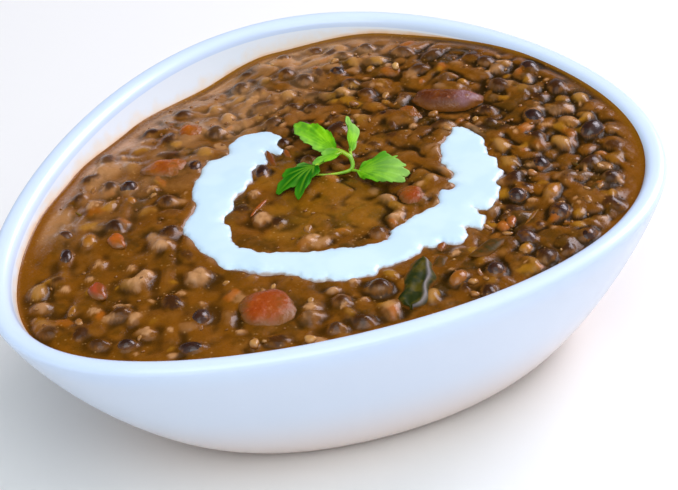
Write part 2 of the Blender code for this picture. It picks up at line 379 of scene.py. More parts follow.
def ring_faces(rings: int, sides: int) -> list[tuple[int, int, int, int]]:
    """Quads between closed rings of vertices that follow each other."""
    faces = []
    for ring in range(rings - 1):
        for side in range(sides):
            following = (side + 1) % sides
            low, high = ring * sides, (ring + 1) * sides
            faces.append((low + side, low + following, high + following, high + side))
    return faces


# --- The bowl's shape -----------------------------------------------------------------------------


@dataclass(frozen=True)
class BowlShape:
    """The egg-shaped bowl's outlines and wall, in millimetres."""

    half_length: float = 100.6
    half_width: float = 82.4
    taper: float = 0.235
    blunt_swell: float = 2.35
    height: float = 60.0
    lip: float = 6.0
    foot_centre: float = 16.5
    foot_half_length: float = 64.0
    foot_half_width: float = 50.0
    foot_taper: float = 0.15
    floor: float = 7.0

    def outline(self, t: np.ndarray, fraction: np.ndarray) -> np.ndarray:
        """Outer wall in plan.

        Args:
            t: the egg's angles.
            fraction: 0 at the rim's outline, 1 at the foot's.

        Returns:
            Rows of x and y.
        """
        rim_x = self.half_length * np.cos(t) + self.blunt_swell * (1 - np.cos(2 * t))
        rim_y = self.half_width * np.sin(t) * (1 + self.taper * np.cos(t))
        foot_x = self.foot_centre + self.foot_half_length * np.cos(t)
        foot_y = self.foot_half_width * np.sin(t) * (1 + self.foot_taper * np.cos(t))
        return np.stack([rim_x + (foot_x - rim_x) * fraction, rim_y + (foot_y - rim_y) * fraction], axis=-1)

    def wall(self, t: np.ndarray, depth: np.ndarray, inset: np.ndarray) -> np.ndarray:
        """Points of the wall.

        Args:
            t: the egg's angles.
            depth: depths below the rim.
            inset: distances inwards from the outer wall.

        Returns:
            Rows of x, y and z.
        """
        t, depth, inset = np.broadcast_arrays(t, depth, inset)
        fraction = 1 - (1 - np.clip(depth / self.height, 0, 1) ** 1.18) ** (1 / 1.267)
        along = self.outline(t + 1e-4, fraction) - self.outline(t - 1e-4, fraction)
        normal = np.stack([along[..., 1], -along[..., 0]], axis=-1)
        normal /= np.linalg.norm(normal, axis=-1, keepdims=True)
        plan = self.outline(t, fraction) - normal * inset[..., None]
        return np.concatenate([plan, (self.height - depth)[..., None]], axis=-1)

    def inner(self, t: np.ndarray, depth: np.ndarray, inset: float = 0.0) -> np.ndarray:
        """Points of the inner wall, which turns into the floor with a round corner."""
        share = np.asarray(depth) / (self.height - self.floor)
        return self.wall(t, depth, self.lip + 7.0 * share**8 + inset)


@dataclass(frozen=True)
class DalLevel:
    """The dal's uneven level in the bowl."""

    bowl: BowlShape
    centre_depth: float = 4.6
    swell: float = 0.5
    # (direction in degrees, depth of the dal's edge below the rim)
    edge_depths: tuple = (
        (-150, 5.5),
        (-110, 5.0),
        (-70, 3.6),
        (-30, 2.0),
        (0, 2.3),
        (30, 5.2),
        (52, 8.6),
        (70, 12.0),
        (93, 9.8),
        (120, 7.3),
        (141, 5.7),
        (180, 6.2),
    )

    def edge_depth(self, direction: np.ndarray) -> np.ndarray:
        """Depth of the dal's edge below the rim, in given directions in radians."""
        table = np.array(self.edge_depths + ((210, self.edge_depths[0][1]),), float)
        degrees = (np.degrees(direction) + 150) % 360 - 150
        index = np.clip(np.searchsorted(table[:, 0], degrees, side="right") - 1, 0, len(table) - 2)
        start, end = table[index], table[index + 1]
        share = (degrees - start[..., 0]) / (end[..., 0] - start[..., 0])
        eased = share * share * (3 - 2 * share)
        return start[..., 1] + (end[..., 1] - start[..., 1]) * eased

    def reach(self, direction: np.ndarray, inset: float = 0.3) -> np.ndarray:
        """Plan distance from the origin to the inner wall at the dal's edge, in given directions."""
        t = np.linspace(-math.pi, math.pi, 1441)
        plan = self.bowl.inner(t, 6.0, inset)
        directions = np.arctan2(plan[:, 1], plan[:, 0])
        order = np.argsort(directions)
        lengths = np.hypot(plan[:, 0], plan[:, 1])[order]
        return np.interp(direction, directions[order], lengths, period=2 * math.pi)

    def height(self, x: np.ndarray, y: np.ndarray) -> np.ndarray:
        """Height of the level above the table at places in the plan."""
        direction = np.arctan2(y, x)
        ratio = np.clip(np.hypot(x, y) / self.reach(direction), 0, 1)
        depth = self.centre_depth + (self.edge_depth(direction) - self.centre_depth) * ratio**2
        waves = np.sin(x / 9.0 + 1.0) * np.cos(y / 11.0 + x / 31.0)
        return self.bowl.height - depth + self.swell * waves * (1 - ratio**4)

    def wall_ring(self, inset: float) -> tuple[np.ndarray, np.ndarray, np.ndarray]:
        """Directions, plan distances and egg's angles of the wall at the dal's edge, by direction."""
        t = np.linspace(-math.pi, math.pi, 1441)
        rough = self.bowl.inner(t, 6.0, inset)
        plan = self.bowl.inner(t, self.edge_depth(np.arctan2(rough[:, 1], rough[:, 0])), inset)
        directions = np.arctan2(plan[:, 1], plan[:, 0])
        order = np.argsort(directions)
        return directions[order], np.hypot(plan[:, 0], plan[:, 1])[order], t[order]

    def edge(self, direction: np.ndarray, inset: float = -0.35) -> np.ndarray:
        """Plan distance from the origin to the wall at the dal's edge, in given directions."""
        directions, lengths, _ = self.wall_ring(inset)
        return np.interp(direction, directions, lengths, period=2 * math.pi)

    def angle(self, direction: np.ndarray, inset: float = -0.35) -> np.ndarray:
        """The egg's angle of the wall in given directions."""
        directions, _, t = self.wall_ring(inset)
        return np.interp(direction, directions, np.unwrap(t))

    def to_wall(self, x: np.ndarray, y: np.ndarray) -> np.ndarray:
        """Rough plan distance from places to the wall."""
        return self.edge(np.arctan2(y, x)) - np.hypot(x, y)


# --- Finishes -------------------------------------------------------------------------------------


@dataclass(frozen=True)
class Glaze:
    """Bright white glaze with an oily tide line just above the dal, a lighter inner wall of painted light, a darker,
    bluer outer wall of painted shade and a warm painted floor bounce low down.
    """

    white: Color = srgb(217, 231, 250)
    oil: Color = srgb(236, 168, 70)
    splash: Color = srgb(250, 218, 172)
    # painted light: the inner wall above the dal is painted lighter
    inner: Color = srgb(240, 246, 252)
    # painted shade: the outer wall is painted darker and bluer
    outer: Color = srgb(217, 227, 244)
    # painted bounce light: warm light from the floor painted low on the outer wall
    clay: Color = srgb(248, 213, 184)

    def build(self) -> bpy.types.Material:
        """Make the material."""
        graph = Graph("white_glaze", roughness=0.26, ior=1.5, coat_weight=0.12, coat_roughness=0.08)
        blotch = graph.noise(60.0, 2.0)
        white = graph.mix(self.white, srgb(212, 227, 250), blotch.step(0.35, 0.65))
        above = graph.attribute("above_dal")
        height = graph.upright() * (1 / MM)
        # painted light: lighter inner wall between the dal and the rim
        white = graph.mix(white, self.inner, above.step(24.0, 20.0) * height.step(59.5, 57.5))
        # painted shade: darker, bluer outer wall below the lip
        white = graph.mix(white, self.outer, above.step(24.0, 28.0) * height.step(58.0, 50.0))
        # painted warm floor bounce, strongest at the foot
        white = graph.mix(white, self.clay, height.step(36.0, 0.0) * 0.65)
        ragged = above + (graph.noise(7.0, 3.0) - 0.5) * 1.6
        splashed = (above + (graph.noise(6.0, 3.0) - 0.5) * 8.0).step(0.3, 4.6)
        white = graph.mix(white, self.splash, (1 - splashed) * 0.5)
        film = (1 - ragged.step(-0.3, 1.9)) * 0.85
        graph.feed(base_color=graph.mix(white, self.oil, film))
        return graph.material


@dataclass(frozen=True)
class Gravy:
    """Thick gravy, tinted by what lies just under its surface, with painted shade in its hollows, painted light on its
    crests and a painted sheen at the back.
    """

    body: Color = srgb(114, 66, 8)
    pale: Color = srgb(150, 98, 40)
    hollow_shade: Color = srgb(36, 22, 2)
    # painted shade in the hollows
    oily: Color = srgb(124, 72, 4)
    dark: Color = srgb(62, 42, 4)
    amber: Color = srgb(136, 78, 12)
    # painted light on the raised crests
    lit_crest: Color = srgb(196, 146, 102)
    orange: Color = srgb(176, 92, 16)
    gold: Color = srgb(166, 112, 22)
    # tint of pale pieces, also used for the painted sheen at the back
    light: Color = srgb(196, 142, 92)
    skin: Color = srgb(48, 24, 12)

    def build(self) -> bpy.types.Material:
        """Make the material."""
        graph = Graph("dal_gravy", ior=1.45, specular_ior_level=0.10, coat_roughness=0.12)
        mush = graph.noise(5.0, 4.0, 0.6)
        body = graph.mix(self.body, self.pale, mush.step(0.46, 0.74) * 0.6)
        body = graph.mix(body, self.dark, graph.noise(9.0, 4.0, 0.6).step(0.46, 0.64) * 0.85)
        body = graph.mix(body, self.amber, graph.noise(13.0, 3.0, 0.6).step(0.50, 0.68) * 0.5)
        body = graph.mix(body, self.oily, graph.attribute("oily"))
        for key, tint, share in (
            ("orange", self.orange, 0.8),
            ("gold", self.gold, 0.8),
            # pale pieces under the surface, together with the painted sheen at the back
            ("pale", self.light, 0.75),
            ("skin", self.skin, 0.9),
        ):
            body = graph.mix(body, tint, graph.attribute(key) * share)
        # painted light on the crests
        body = graph.mix(body, self.lit_crest, graph.attribute("lit_crest") * 0.5)
        # painted shade in the hollows
        body = graph.mix(body, self.hollow_shade, graph.attribute("hollow_shade"))
        specks = (1 - graph.cells(1.5).step(0.10, 0.26)) * graph.noise(4.0).step(0.5, 0.6)
        body = graph.mix(body, srgb(190, 142, 84), specks * 0.4)
        wet = (1 - graph.attribute("hollow_shade")) * 0.30
        graph.feed(base_color=body, roughness=0.20 + mush * 0.16, coat_weight=wet)
        graph.bump(graph.noise(2.0, 4.0, 0.65), 0.30)
        return graph.material


# --- The bowl -------------------------------------------------------------------------------------


@dataclass
class Bowl:
    """The glazed bowl, as a fine closed shell."""

    shape: BowlShape
    level: DalLevel
    sides: int = 288
    recess: float = 1.5
    wall_steps: int = 30

    def profile(self) -> list[tuple[float, float, bool]]:
        """Rings from under the foot, up the outer wall, over the lip and down the inner wall.

        Returns:
            Rows of depth below the rim, inset, and whether the ring belongs to the inner wall.
        """
        height = self.shape.height
        rows = [(height - self.recess, 60.0, False), (height - self.recess, 10.4, False)]
        rows += [(height - self.recess + 0.3, 9.8, False), (height - 0.3, 9.2, False), (height, 8.5, False)]
        rows += [(height, 4.2, False), (height - 0.12, 3.2, False), (height - 0.5, 2.1, False)]
        rows += [(height - 1.2, 1.15, False), (height - 2.2, 0.45, False), (height - 3.6, 0.08, False)]
        rows += [(depth, 0.0, False) for depth in np.linspace(height - 6, 3.4, self.wall_steps)]
        for step in range(1, 17):
            angle = math.pi * step / 16
            across = 3.0 - 3.0 * math.copysign(abs(math.cos(angle)) ** 0.8, math.cos(angle))
            rows.append((2.6 * (1 - math.sin(angle) ** 0.8), across, False))
        floor_depth = height - self.shape.floor
        rows += [(depth, 0.0, True) for depth in np.linspace(3.4, floor_depth, self.wall_steps)]
        return rows

    def build(self) -> bpy.types.Object:
        """Make the bowl's piece."""
        t = np.linspace(0, 2 * math.pi, self.sides, endpoint=False)
        rings = []
        for depth, inset, inner in self.profile():
            if inner:
                rings.append(self.shape.inner(t, depth))
            elif inset > 40:
                rings.append(self.shape.wall(t, depth, 12.0) * (0.05, 0.05, 1) + (self.shape.foot_centre, 0, 0))
            else:
                rings.append(self.shape.wall(t, depth, inset))
        points = np.concatenate(rings)
        faces = ring_faces(len(rings), self.sides)
        faces.append(tuple(range(self.sides - 1, -1, -1)))
        last = len(points) - self.sides
        faces.append(tuple(range(last, last + self.sides)))
        level = self.shape.height - self.level.edge_depth(np.arctan2(points[:, 1], points[:, 0]))
        inner = np.repeat([row[2] for row in self.profile()], self.sides)
        above = np.where(inner, points[:, 2] - level, 30.0)
        piece = add_piece("glazed_bowl", points, faces, Glaze().build(), {"above_dal": above})
        outward(piece)
        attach(piece, BODY)
        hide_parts("bowl")
        return piece


# --- The dal's surface ----------------------------------------------------------------------------


@dataclass
class Spot:
    """One piece in the dal: its place, size, turn and looks, in millimetres and degrees."""

    x: float
    y: float
    size: tuple[float, float, float]
    turn: float
    tilt: float = 0.0
    lift: float = 0.0
    shade: float = 0.5
    cover: float = 0.4

    def away(self, x: np.ndarray, y: np.ndarray, grow: float = 0.0) -> np.ndarray:
        """How far places are from the middle, where 1 is the piece's outline in plan."""
        angle = math.radians(self.turn)
        along = (x - self.x) * math.cos(angle) + (y - self.y) * math.sin(angle)
        across = (y - self.y) * math.cos(angle) - (x - self.x) * math.sin(angle)
        return np.hypot(along / (self.size[0] / 2 + grow), across / (self.size[1] / 2 + grow))


class Relief:
    """The dal's surface: heights over the bowl's plan, on a grid that ends at the wall."""

    def __init__(self, level: DalLevel, columns: int = 312, rows: int = 272) -> None:
        """Lay the grid over the plan.

        Args:
            level: the dal's level and the bowl round it.
            columns: grid points along the bowl.
            rows: grid points across it.
        """
        self.level = level
        u, v = np.meshgrid(np.linspace(-1, 1, columns), np.linspace(-1, 1, rows), indexing="ij")
        round_x = u * np.sqrt(1 - v**2 / 2)
        round_y = v * np.sqrt(1 - u**2 / 2)
        direction = np.arctan2(round_y, round_x)
        radius = np.hypot(round_x, round_y) * level.edge(direction)
        self.x, self.y = radius * np.cos(direction), radius * np.sin(direction)
        self.wall = level.edge(direction) - radius
        self.height = level.height(self.x, self.y) + self.texture()
        self.height += 0.7 * np.exp(-self.wall / 0.8)
        self.mottle = grain(self.x, self.y, 2.0, 15) + 0.5 * grain(self.x, self.y, 0.9, 16)
        self.warp = grain(self.x, self.y, 3.6, 26)
        self.tints = {key: np.zeros(self.x.shape) for key in ("skin", "gold", "pale", "orange")}

    def texture(self) -> np.ndarray:
        """Mushy unevenness, which dies out in a calm band along the wall."""
        x, y = self.x, self.y
        coarse = 0.50 * grain(x, y, 15.0, 11) + 0.30 * grain(x + 0.4 * y, y, 7.0, 12)
        fine = 0.12 * grain(x, y, 3.1, 13) + 0.05 * grain(x, y, 1.5, 14)
        bent_x, bent_y = x + 1.6 * grain(x, y, 7.0, 17), y + 1.6 * grain(x, y, 7.0, 18)
        lumps = 1.45 * rounded(grain(bent_x, bent_y, 6.5, 19)) + 0.8 * rounded(grain(bent_x, bent_y, 3.6, 20))
        along, across = (x + y) * math.sqrt(0.5), (y - x) * math.sqrt(0.5)
        streaks = 0.60 * grain(along * 0.3, across, 2.8, 23) * (1 - smooth(x, -45.0, -5.0))
        return (coarse + fine + lumps * self.heap() + streaks) * smooth(self.wall, 1.0, 7.0)

    def heap(self) -> np.ndarray:
        """Where beans lie close under the surface: on the right and at the back, less on the left."""
        return (0.40 + 0.60 * smooth(self.x, -35.0, 35.0)) * (1 - 0.25 * within_u(self.x, self.y, 0.6, 1.0))

    def swell(self, spot: Spot, grow: float, blend: float, tint: str = "", strength: float = 0.0) -> None:
        """Raise the surface where a piece lies in it.

        Args:
            spot: the piece.
            grow: thickness of gravy over it; below zero it stays bare.
            blend: how wide the gravy is drawn up round it.
            tint: which of the tints shows through the gravy, if any.
            strength: how clearly it shows.
        """
        rough = np.hypot(self.x - spot.x, self.y - spot.y)
        near = rough < spot.size[0] / 2 + 4.0
        away = spot.away(self.x[near], self.y[near], grow)
        if grow > 0:
            away = away * (1 + 0.20 * self.warp[near] + 0.04 * self.mottle[near])
        half = spot.size[2] / 2
        dome = np.sqrt(np.clip(1 - away**2, 0, 1)) * (half + grow)
        skirt = np.clip(away - 1, 0, None) * 2.2 * half
        middle = self.level.height(np.array(spot.x), np.array(spot.y)) + spot.lift
        top = middle + dome - skirt
        height = self.height[near]
        drawn = np.clip(blend - np.abs(height - top), 0, None) ** 2 / (4 * blend)
        self.height[near] = np.maximum(height, top) + drawn
        if tint:
            cap = (1 - smooth(away + 0.30 * self.mottle[near], 0.45, 1.05)) * strength
            self.tints[tint][near] = np.maximum(self.tints[tint][near], cap)

    def spread(self, passes: int) -> np.ndarray:
        """The heights after a number of passes in which each point takes its neighbours' mean."""
        mean = self.height.copy()
        for _ in range(passes):
            padded = np.pad(mean, 1, mode="edge")
            mean = (padded[2:, 1:-1] + padded[:-2, 1:-1] + padded[1:-1, 2:] + padded[1:-1, :-2]) / 4
        return mean

    def relax(self) -> None:
        """Let the gravy flow together a little, most of all on the left and at the back."""
        left, back = 1 - smooth(self.x, -40.0, 25.0), smooth(self.y, 20.0, 45.0)
        share = (0.3 + 0.55 * left + 0.35 * back) * smooth(self.wall, 0.5, 2.5)
        self.height += (self.spread(4) - self.height) * share

    def hollows(self, passes: int = 14) -> np.ndarray:
        """How deep each point lies below its surroundings, in millimetres."""
        return self.spread(passes) - self.height

    def sampler(self) -> Callable[[np.ndarray, np.ndarray], np.ndarray]:
        """A function that gives the surface's height at places in the plan."""
        tree = KDTree(self.x.size)
        for index, (x, y) in enumerate(zip(self.x.ravel(), self.y.ravel())):
            tree.insert((x, y, 0), index)
        tree.balance()
        heights = self.height.ravel()

        def at(x: np.ndarray, y: np.ndarray) -> np.ndarray:
            """Height of the nearest grid point."""
            return np.array([heights[tree.find((a, b, 0))[1]] for a, b in zip(x, y)])

        return at


@dataclass
class Dal:
    """The body of gravy, from its relief down to the bowl's floor."""

    relief: Relief
    overlap: float = 0.35
    lower_rings: int = 7

    def tide(self) -> np.ndarray:
        """The golden band along the wall, on the right and at the back."""
        x, y = self.relief.x, self.relief.y
        near = 1 - smooth(self.relief.wall + 0.2 * self.relief.mottle, 0.5, 2.2)
        return 0.45 * near * smooth(x + 0.5 * y, 20.0, 70.0)

    def lit_back(self) -> np.ndarray:
        """Painted sheen: where the mush is painted lighter, at the back, in soft patches."""
        x, y = self.relief.x, self.relief.y
        patches = smooth(grain(x, y, 14.0, 24) + 0.6 * grain(x, y, 5.0, 25), -0.9, 0.7)
        return 0.8 * patches * smooth(y, 22.0, 54.0) * smooth(self.relief.wall, 1.5, 4.0)

    def middle(self) -> np.ndarray:
        """The golden mush inside the cream's U, in soft patches."""
        x, y = self.relief.x, self.relief.y
        return 0.35 * within_u(x, y, 0.7, 1.05) * smooth(grain(x, y, 9.0, 27) + 0.6 * grain(x, y, 4.0, 28), -0.5, 0.6)

    def oiliness(self) -> np.ndarray:
        """Where the gravy looks oily and deep in colour: along the wall and in soft patches."""
        x, y = self.relief.x, self.relief.y
        patches = smooth(grain(x, y, 22.0, 21) + 0.5 * grain(x, y, 8.0, 22), 0.0, 0.9)
        left = smooth(-x, 20.0, 75.0)
        rim = 1 - smooth(self.relief.wall, 1.0, 5.0)
        return np.clip(0.35 * patches + 0.4 * left + 0.8 * rim, 0, 1)

    def build(self) -> bpy.types.Object:
        """Make the dal's piece."""
        relief, level = self.relief, self.relief.level
        columns, rows = relief.x.shape
        number = np.arange(columns * rows).reshape(columns, rows)
        quads = np.stack([number[:-1, :-1], number[1:, :-1], number[1:, 1:], number[:-1, 1:]], axis=-1)
        faces = quads.reshape(-1, 4).tolist()
        points = [np.stack([relief.x, relief.y, relief.height], axis=-1).reshape(-1, 3)]
        border = np.concatenate((number[:-1, 0], number[-1, :-1], number[:0:-1, -1], number[0, :0:-1]))
        count = len(border)
        flat = points[0][border]
        t = level.angle(np.arctan2(flat[:, 1], flat[:, 0]))
        edge_depth = level.bowl.height - flat[:, 2]
        below, start = border, columns * rows
        for step in range(self.lower_rings):
            share = step / (self.lower_rings - 1)
            depth = edge_depth + 0.2 + (level.bowl.height - level.bowl.floor - edge_depth - 0.2) * share
            points.append(level.bowl.inner(t, depth, -self.overlap))
            ring = np.arange(start, start + count)
            for index in range(count):
                following = (index + 1) % count
                faces.append((below[index], ring[index], ring[following], below[following]))
            below, start = ring, start + count
        points.append(np.array([[16.0, 0.0, level.bowl.floor]]))
        faces += [(below[index], start, below[(index + 1) % count]) for index in range(count)]
        points = np.concatenate(points)
        depth = relief.hollows()
        # painted shade in the hollows, weaker on the left and at the back
        shown = {"hollow_shade": 0.95 * smooth(depth, 0.0, 0.30), "lit_crest": smooth(-depth, 0.15, 0.8)}
        shown["hollow_shade"] *= 0.75 + 0.25 * smooth(relief.x, -45.0, 10.0)
        shown["hollow_shade"] *= 1 - 0.4 * smooth(relief.y, 25.0, 55.0)
        # the painted light on crests stays off the dark bean skins
        shown["lit_crest"] *= 1 - np.clip(relief.tints["skin"] * 1.6, 0, 1)
        shown |= {"oily": self.oiliness(), **relief.tints}
        shown["gold"] = np.maximum.reduce([shown["gold"], self.tide(), self.middle()])
        # painted sheen at the back, added to the pale pieces' tint
        shown["pale"] = np.maximum(shown["pale"], self.lit_back())
        values = {key: np.zeros(len(points)) for key in shown}
        for key, value in shown.items():
            values[key][: columns * rows] = value.ravel()
        piece = add_piece("dal_body", points, faces, Gravy().build(), values)
        outward(piece)
        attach(piece, BODY)
        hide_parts("dal")
        return piece


# --- Beans and other scattered pieces -------------------------------------------------------------


class Kind(Enum):
    """Kinds of piece in the dal."""

    DARK = "black_gram"
    BROWN = "coated_gram"
    GOLD = "golden_lentil"
    PALE = "burst_lentil"
    ORANGE = "orange_bit"
    RED = "tomato_bit"
    HERB = "wilted_herb"
    SKIN = "loose_skin"


@dataclass(frozen=True)
class Coated:
    """Finish of a soft wet piece: its own two tones, under a film of gravy low down and in patches."""

    name: str
    first: Color
    second: Color
    film: Color = srgb(124, 73, 16)
    roughness: float = 0.24
    specular: float = 0.5

    def build(self) -> bpy.types.Material:
        """Make the material."""
        graph = Graph(self.name, ior=1.45, roughness=self.roughness, specular_ior_level=self.specular)
        mottle = graph.noise(2.4, 3.0)
        tone = graph.mix(self.first, self.second, (graph.attribute("shade") + (mottle - 0.5) * 0.9).clamped())
        above = (graph.upright() - graph.attribute("level")) * (1 / MM)
        cover = graph.attribute("cover")
        low = 1 - (above + (mottle - 0.5) * 2.4 - cover * 2.4).step(-0.6, 1.6)
        patches = (graph.noise(3.0, 3.0) + cover * 0.5).step(0.56, 0.78) * 0.85
        graph.feed(base_color=graph.mix(tone, self.film, graph.math("MAXIMUM", low, patches)))
        graph.bump(mottle, 0.25)
        return graph.material


@dataclass
class Scatter:
    """Copies of a template laid on spots by Geometry Nodes and joined in one mesh."""

    name: str
    template: bpy.types.Object
    spots: list[Spot]
    surface: Callable[[np.ndarray, np.ndarray], np.ndarray]
    slot: str

    def points(self) -> bpy.types.Object:
        """Make the mesh of spots, with the attributes that the nodes read."""
        x = np.array([spot.x for spot in self.spots])
        y = np.array([spot.y for spot in self.spots])
        z = self.surface(x, y)
        lifts = np.array([spot.lift for spot in self.spots])
        mesh = bpy.data.meshes.new(f"{self.name}_spots")
        mesh.from_pydata((np.stack([x, y, z + lifts], axis=1) * MM).tolist(), [], [])
        turns = np.array([(0.0, math.radians(spot.tilt), math.radians(spot.turn)) for spot in self.spots])
        for key, kind, array, slot in (
            ("turn", "FLOAT_VECTOR", turns, "vector"),
            ("size", "FLOAT_VECTOR", [spot.size for spot in self.spots], "vector"),
            ("shade", "FLOAT", [spot.shade for spot in self.spots], "value"),
            ("cover", "FLOAT", [spot.cover for spot in self.spots], "value"),
            ("level", "FLOAT", z * MM, "value"),
        ):
            data = mesh.attributes.new(key, kind, "POINT").data
            data.foreach_set(slot, np.asarray(array, np.float32).ravel())
        item = bpy.data.objects.new(f"{self.name}_spots", mesh)
        bpy.context.scene.collection.objects.link(item)
        return item

    def tree(self) -> bpy.types.NodeTree:
        """Make the node group that lays a template on each spot."""
        group = bpy.data.node_groups.new(f"lay_{self.name}", "GeometryNodeTree")
        group.interface.new_socket("Spots", in_out="INPUT", socket_type="NodeSocketGeometry")
        group.interface.new_socket("Template", in_out="INPUT", socket_type="NodeSocketObject")
        group.interface.new_socket("Finish", in_out="INPUT", socket_type="NodeSocketMaterial")
        group.interface.new_socket("Unit", in_out="INPUT", socket_type="NodeSocketFloat")
        group.interface.new_socket("Pieces", in_out="OUTPUT", socket_type="NodeSocketGeometry")
        add, join = group.nodes.new, group.links.new
        entry, leave = add("NodeGroupInput"), add("NodeGroupOutput")
        template, lay = add("GeometryNodeObjectInfo"), add("GeometryNodeInstanceOnPoints")
        turn, size = add("GeometryNodeInputNamedAttribute"), add("GeometryNodeInputNamedAttribute")
        scale, angle = add("ShaderNodeVectorMath"), add("FunctionNodeEulerToRotation")
        real, dress = add("GeometryNodeRealizeInstances"), add("GeometryNodeSetMaterial")
        for reader, key in ((turn, "turn"), (size, "size")):
            reader.data_type = "FLOAT_VECTOR"
            reader.inputs["Name"].default_value = key
        scale.operation = "SCALE"
        join(entry.outputs["Template"], template.inputs["Object"])
        join(entry.outputs["Spots"], lay.inputs["Points"])
        join(template.outputs["Geometry"], lay.inputs["Instance"])
        join(turn.outputs["Attribute"], angle.inputs["Euler"])
        join(angle.outputs["Rotation"], lay.inputs["Rotation"])
        join(size.outputs["Attribute"], scale.inputs[0])
        join(entry.outputs["Unit"], scale.inputs["Scale"])
        join(scale.outputs["Vector"], lay.inputs["Scale"])
        join(lay.outputs["Instances"], real.inputs["Geometry"])
        join(real.outputs["Geometry"], dress.inputs["Geometry"])
        join(entry.outputs["Finish"], dress.inputs["Material"])
        join(dress.outputs["Geometry"], leave.inputs["Pieces"])
        return group

    def build(self, finish: bpy.types.Material) -> bpy.types.Object:
        """Lay the copies, make them a plain mesh and let it ride.

        Args:
            finish: the copies' material.

        Returns:
            The finished piece.
        """
        spots = self.points()
        modifier = spots.modifiers.new("lay", "NODES")
        modifier.node_group = self.tree()
        sockets = {item.name: item.identifier for item in modifier.node_group.interface.items_tree}
        modifier[sockets["Template"]] = self.template
        modifier[sockets["Finish"]] = finish
        modifier[sockets["Unit"]] = MM
        bpy.context.view_layer.update()
        mesh = bpy.data.meshes.new_from_object(spots.evaluated_get(bpy.context.evaluated_depsgraph_get()))
        mesh.shade_smooth()
        bpy.data.objects.remove(spots)
        piece = bpy.data.objects.new(self.name, mesh)
        bpy.context.scene.collection.objects.link(piece)
        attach(piece, BODY)
        return piece


Form = Callable[[np.ndarray, np.ndarray, np.ndarray], np.ndarray]


def sphere_net(sides: int, rings: int) -> tuple[np.ndarray, list[tuple[int, ...]]]:
    """Points and faces of a unit sphere whose poles lie on the x axis."""
    polar = np.linspace(0, math.pi, rings + 2)[1:-1]
    turns = np.linspace(0, 2 * math.pi, sides, endpoint=False)
    grid_polar, grid_turn = np.meshgrid(polar, turns, indexing="ij")
    x = np.concatenate((np.cos(grid_polar).ravel(), (1, -1)))
    y = np.concatenate(((np.sin(grid_polar) * np.cos(grid_turn)).ravel(), (0, 0)))
    z = np.concatenate(((np.sin(grid_polar) * np.sin(grid_turn)).ravel(), (0, 0)))
    faces = ring_faces(rings, sides)
    low = (rings - 1) * sides
    for side in range(sides):
        following = (side + 1) % sides
        faces.append((rings * sides, following, side))
        faces.append((low + side, low + following, rings * sides + 1))
    return np.stack([x, y, z], axis=1), faces


def template(name: str, form: Form, sides: int = 12, rings: int = 7) -> bpy.types.Object:
    """Make a closed round template of unit size, which isn't linked to the scene.

    Args:
        name: the template's name.
        form: turns the unit sphere's x, y and z into rows of points, from -0.5 to 0.5.
        sides: faces round it.
        rings: rings of vertices between its poles.

    Returns:
        The template object.
    """
    points, faces = sphere_net(sides, rings)
    mesh = bpy.data.meshes.new(name)
    mesh.from_pydata(form(*points.T).tolist(), [], [tuple(map(int, face)) for face in faces])
    mesh.shade_smooth()
    item = bpy.data.objects.new(name, mesh)
    outward(item)
    return item


def gram_form(x: np.ndarray, y: np.ndarray, z: np.ndarray) -> np.ndarray:
    """A whole cooked black gram bean: a plump barrel with a shallow dent at its scar."""
    full = 1 - 0.10 * x**4
    dent = 0.07 * np.exp(-((x / 0.35) ** 2)) * (y > 0) * y**2
    return 0.5 * np.stack([x, y * full - dent, z * full], axis=1)


def burst_form(x: np.ndarray, y: np.ndarray, z: np.ndarray) -> np.ndarray:
    """A burst lentil: a low lump with an uneven outline and a dent where it has opened."""
    turn = np.arctan2(y, x)
    outline = 1 + 0.10 * np.cos(2 * turn + 0.6) + 0.09 * np.cos(3 * turn + 2.1) + 0.06 * np.cos(5 * turn + 1.0)
    dent = 0.30 * np.exp(-(((x - 0.15) / 0.35) ** 2) - ((y + 0.1) / 0.35) ** 2) * (z > 0)
    return 0.5 * np.stack([x * outline, y * outline, z * (0.85 + 0.2 * x) - dent], axis=1)


def crumb_form(x: np.ndarray, y: np.ndarray, z: np.ndarray) -> np.ndarray:
    """An uneven crumb."""
    return 0.5 * np.stack([x, y * (1 + 0.25 * x), z * (1 - 0.2 * y)], axis=1)


def skin_form(x: np.ndarray, y: np.ndarray, z: np.ndarray) -> np.ndarray:
    """A loose skin, curled into an arc that stands up like a low ridge."""
    bend = 0.8 * (x**2 - 0.5)
    return 0.5 * np.stack([x, 0.22 * y * (1 + 0.3 * x) + bend, z * (1 - 0.5 * x**2)], axis=1)


def strand_form(x: np.ndarray, y: np.ndarray, z: np.ndarray) -> np.ndarray:
    """A limp strand with a slight S bend."""
    return 0.5 * np.stack([x, y * (1 - 0.5 * x**2) + 0.4 * np.sin(2.6 * x), z], axis=1)


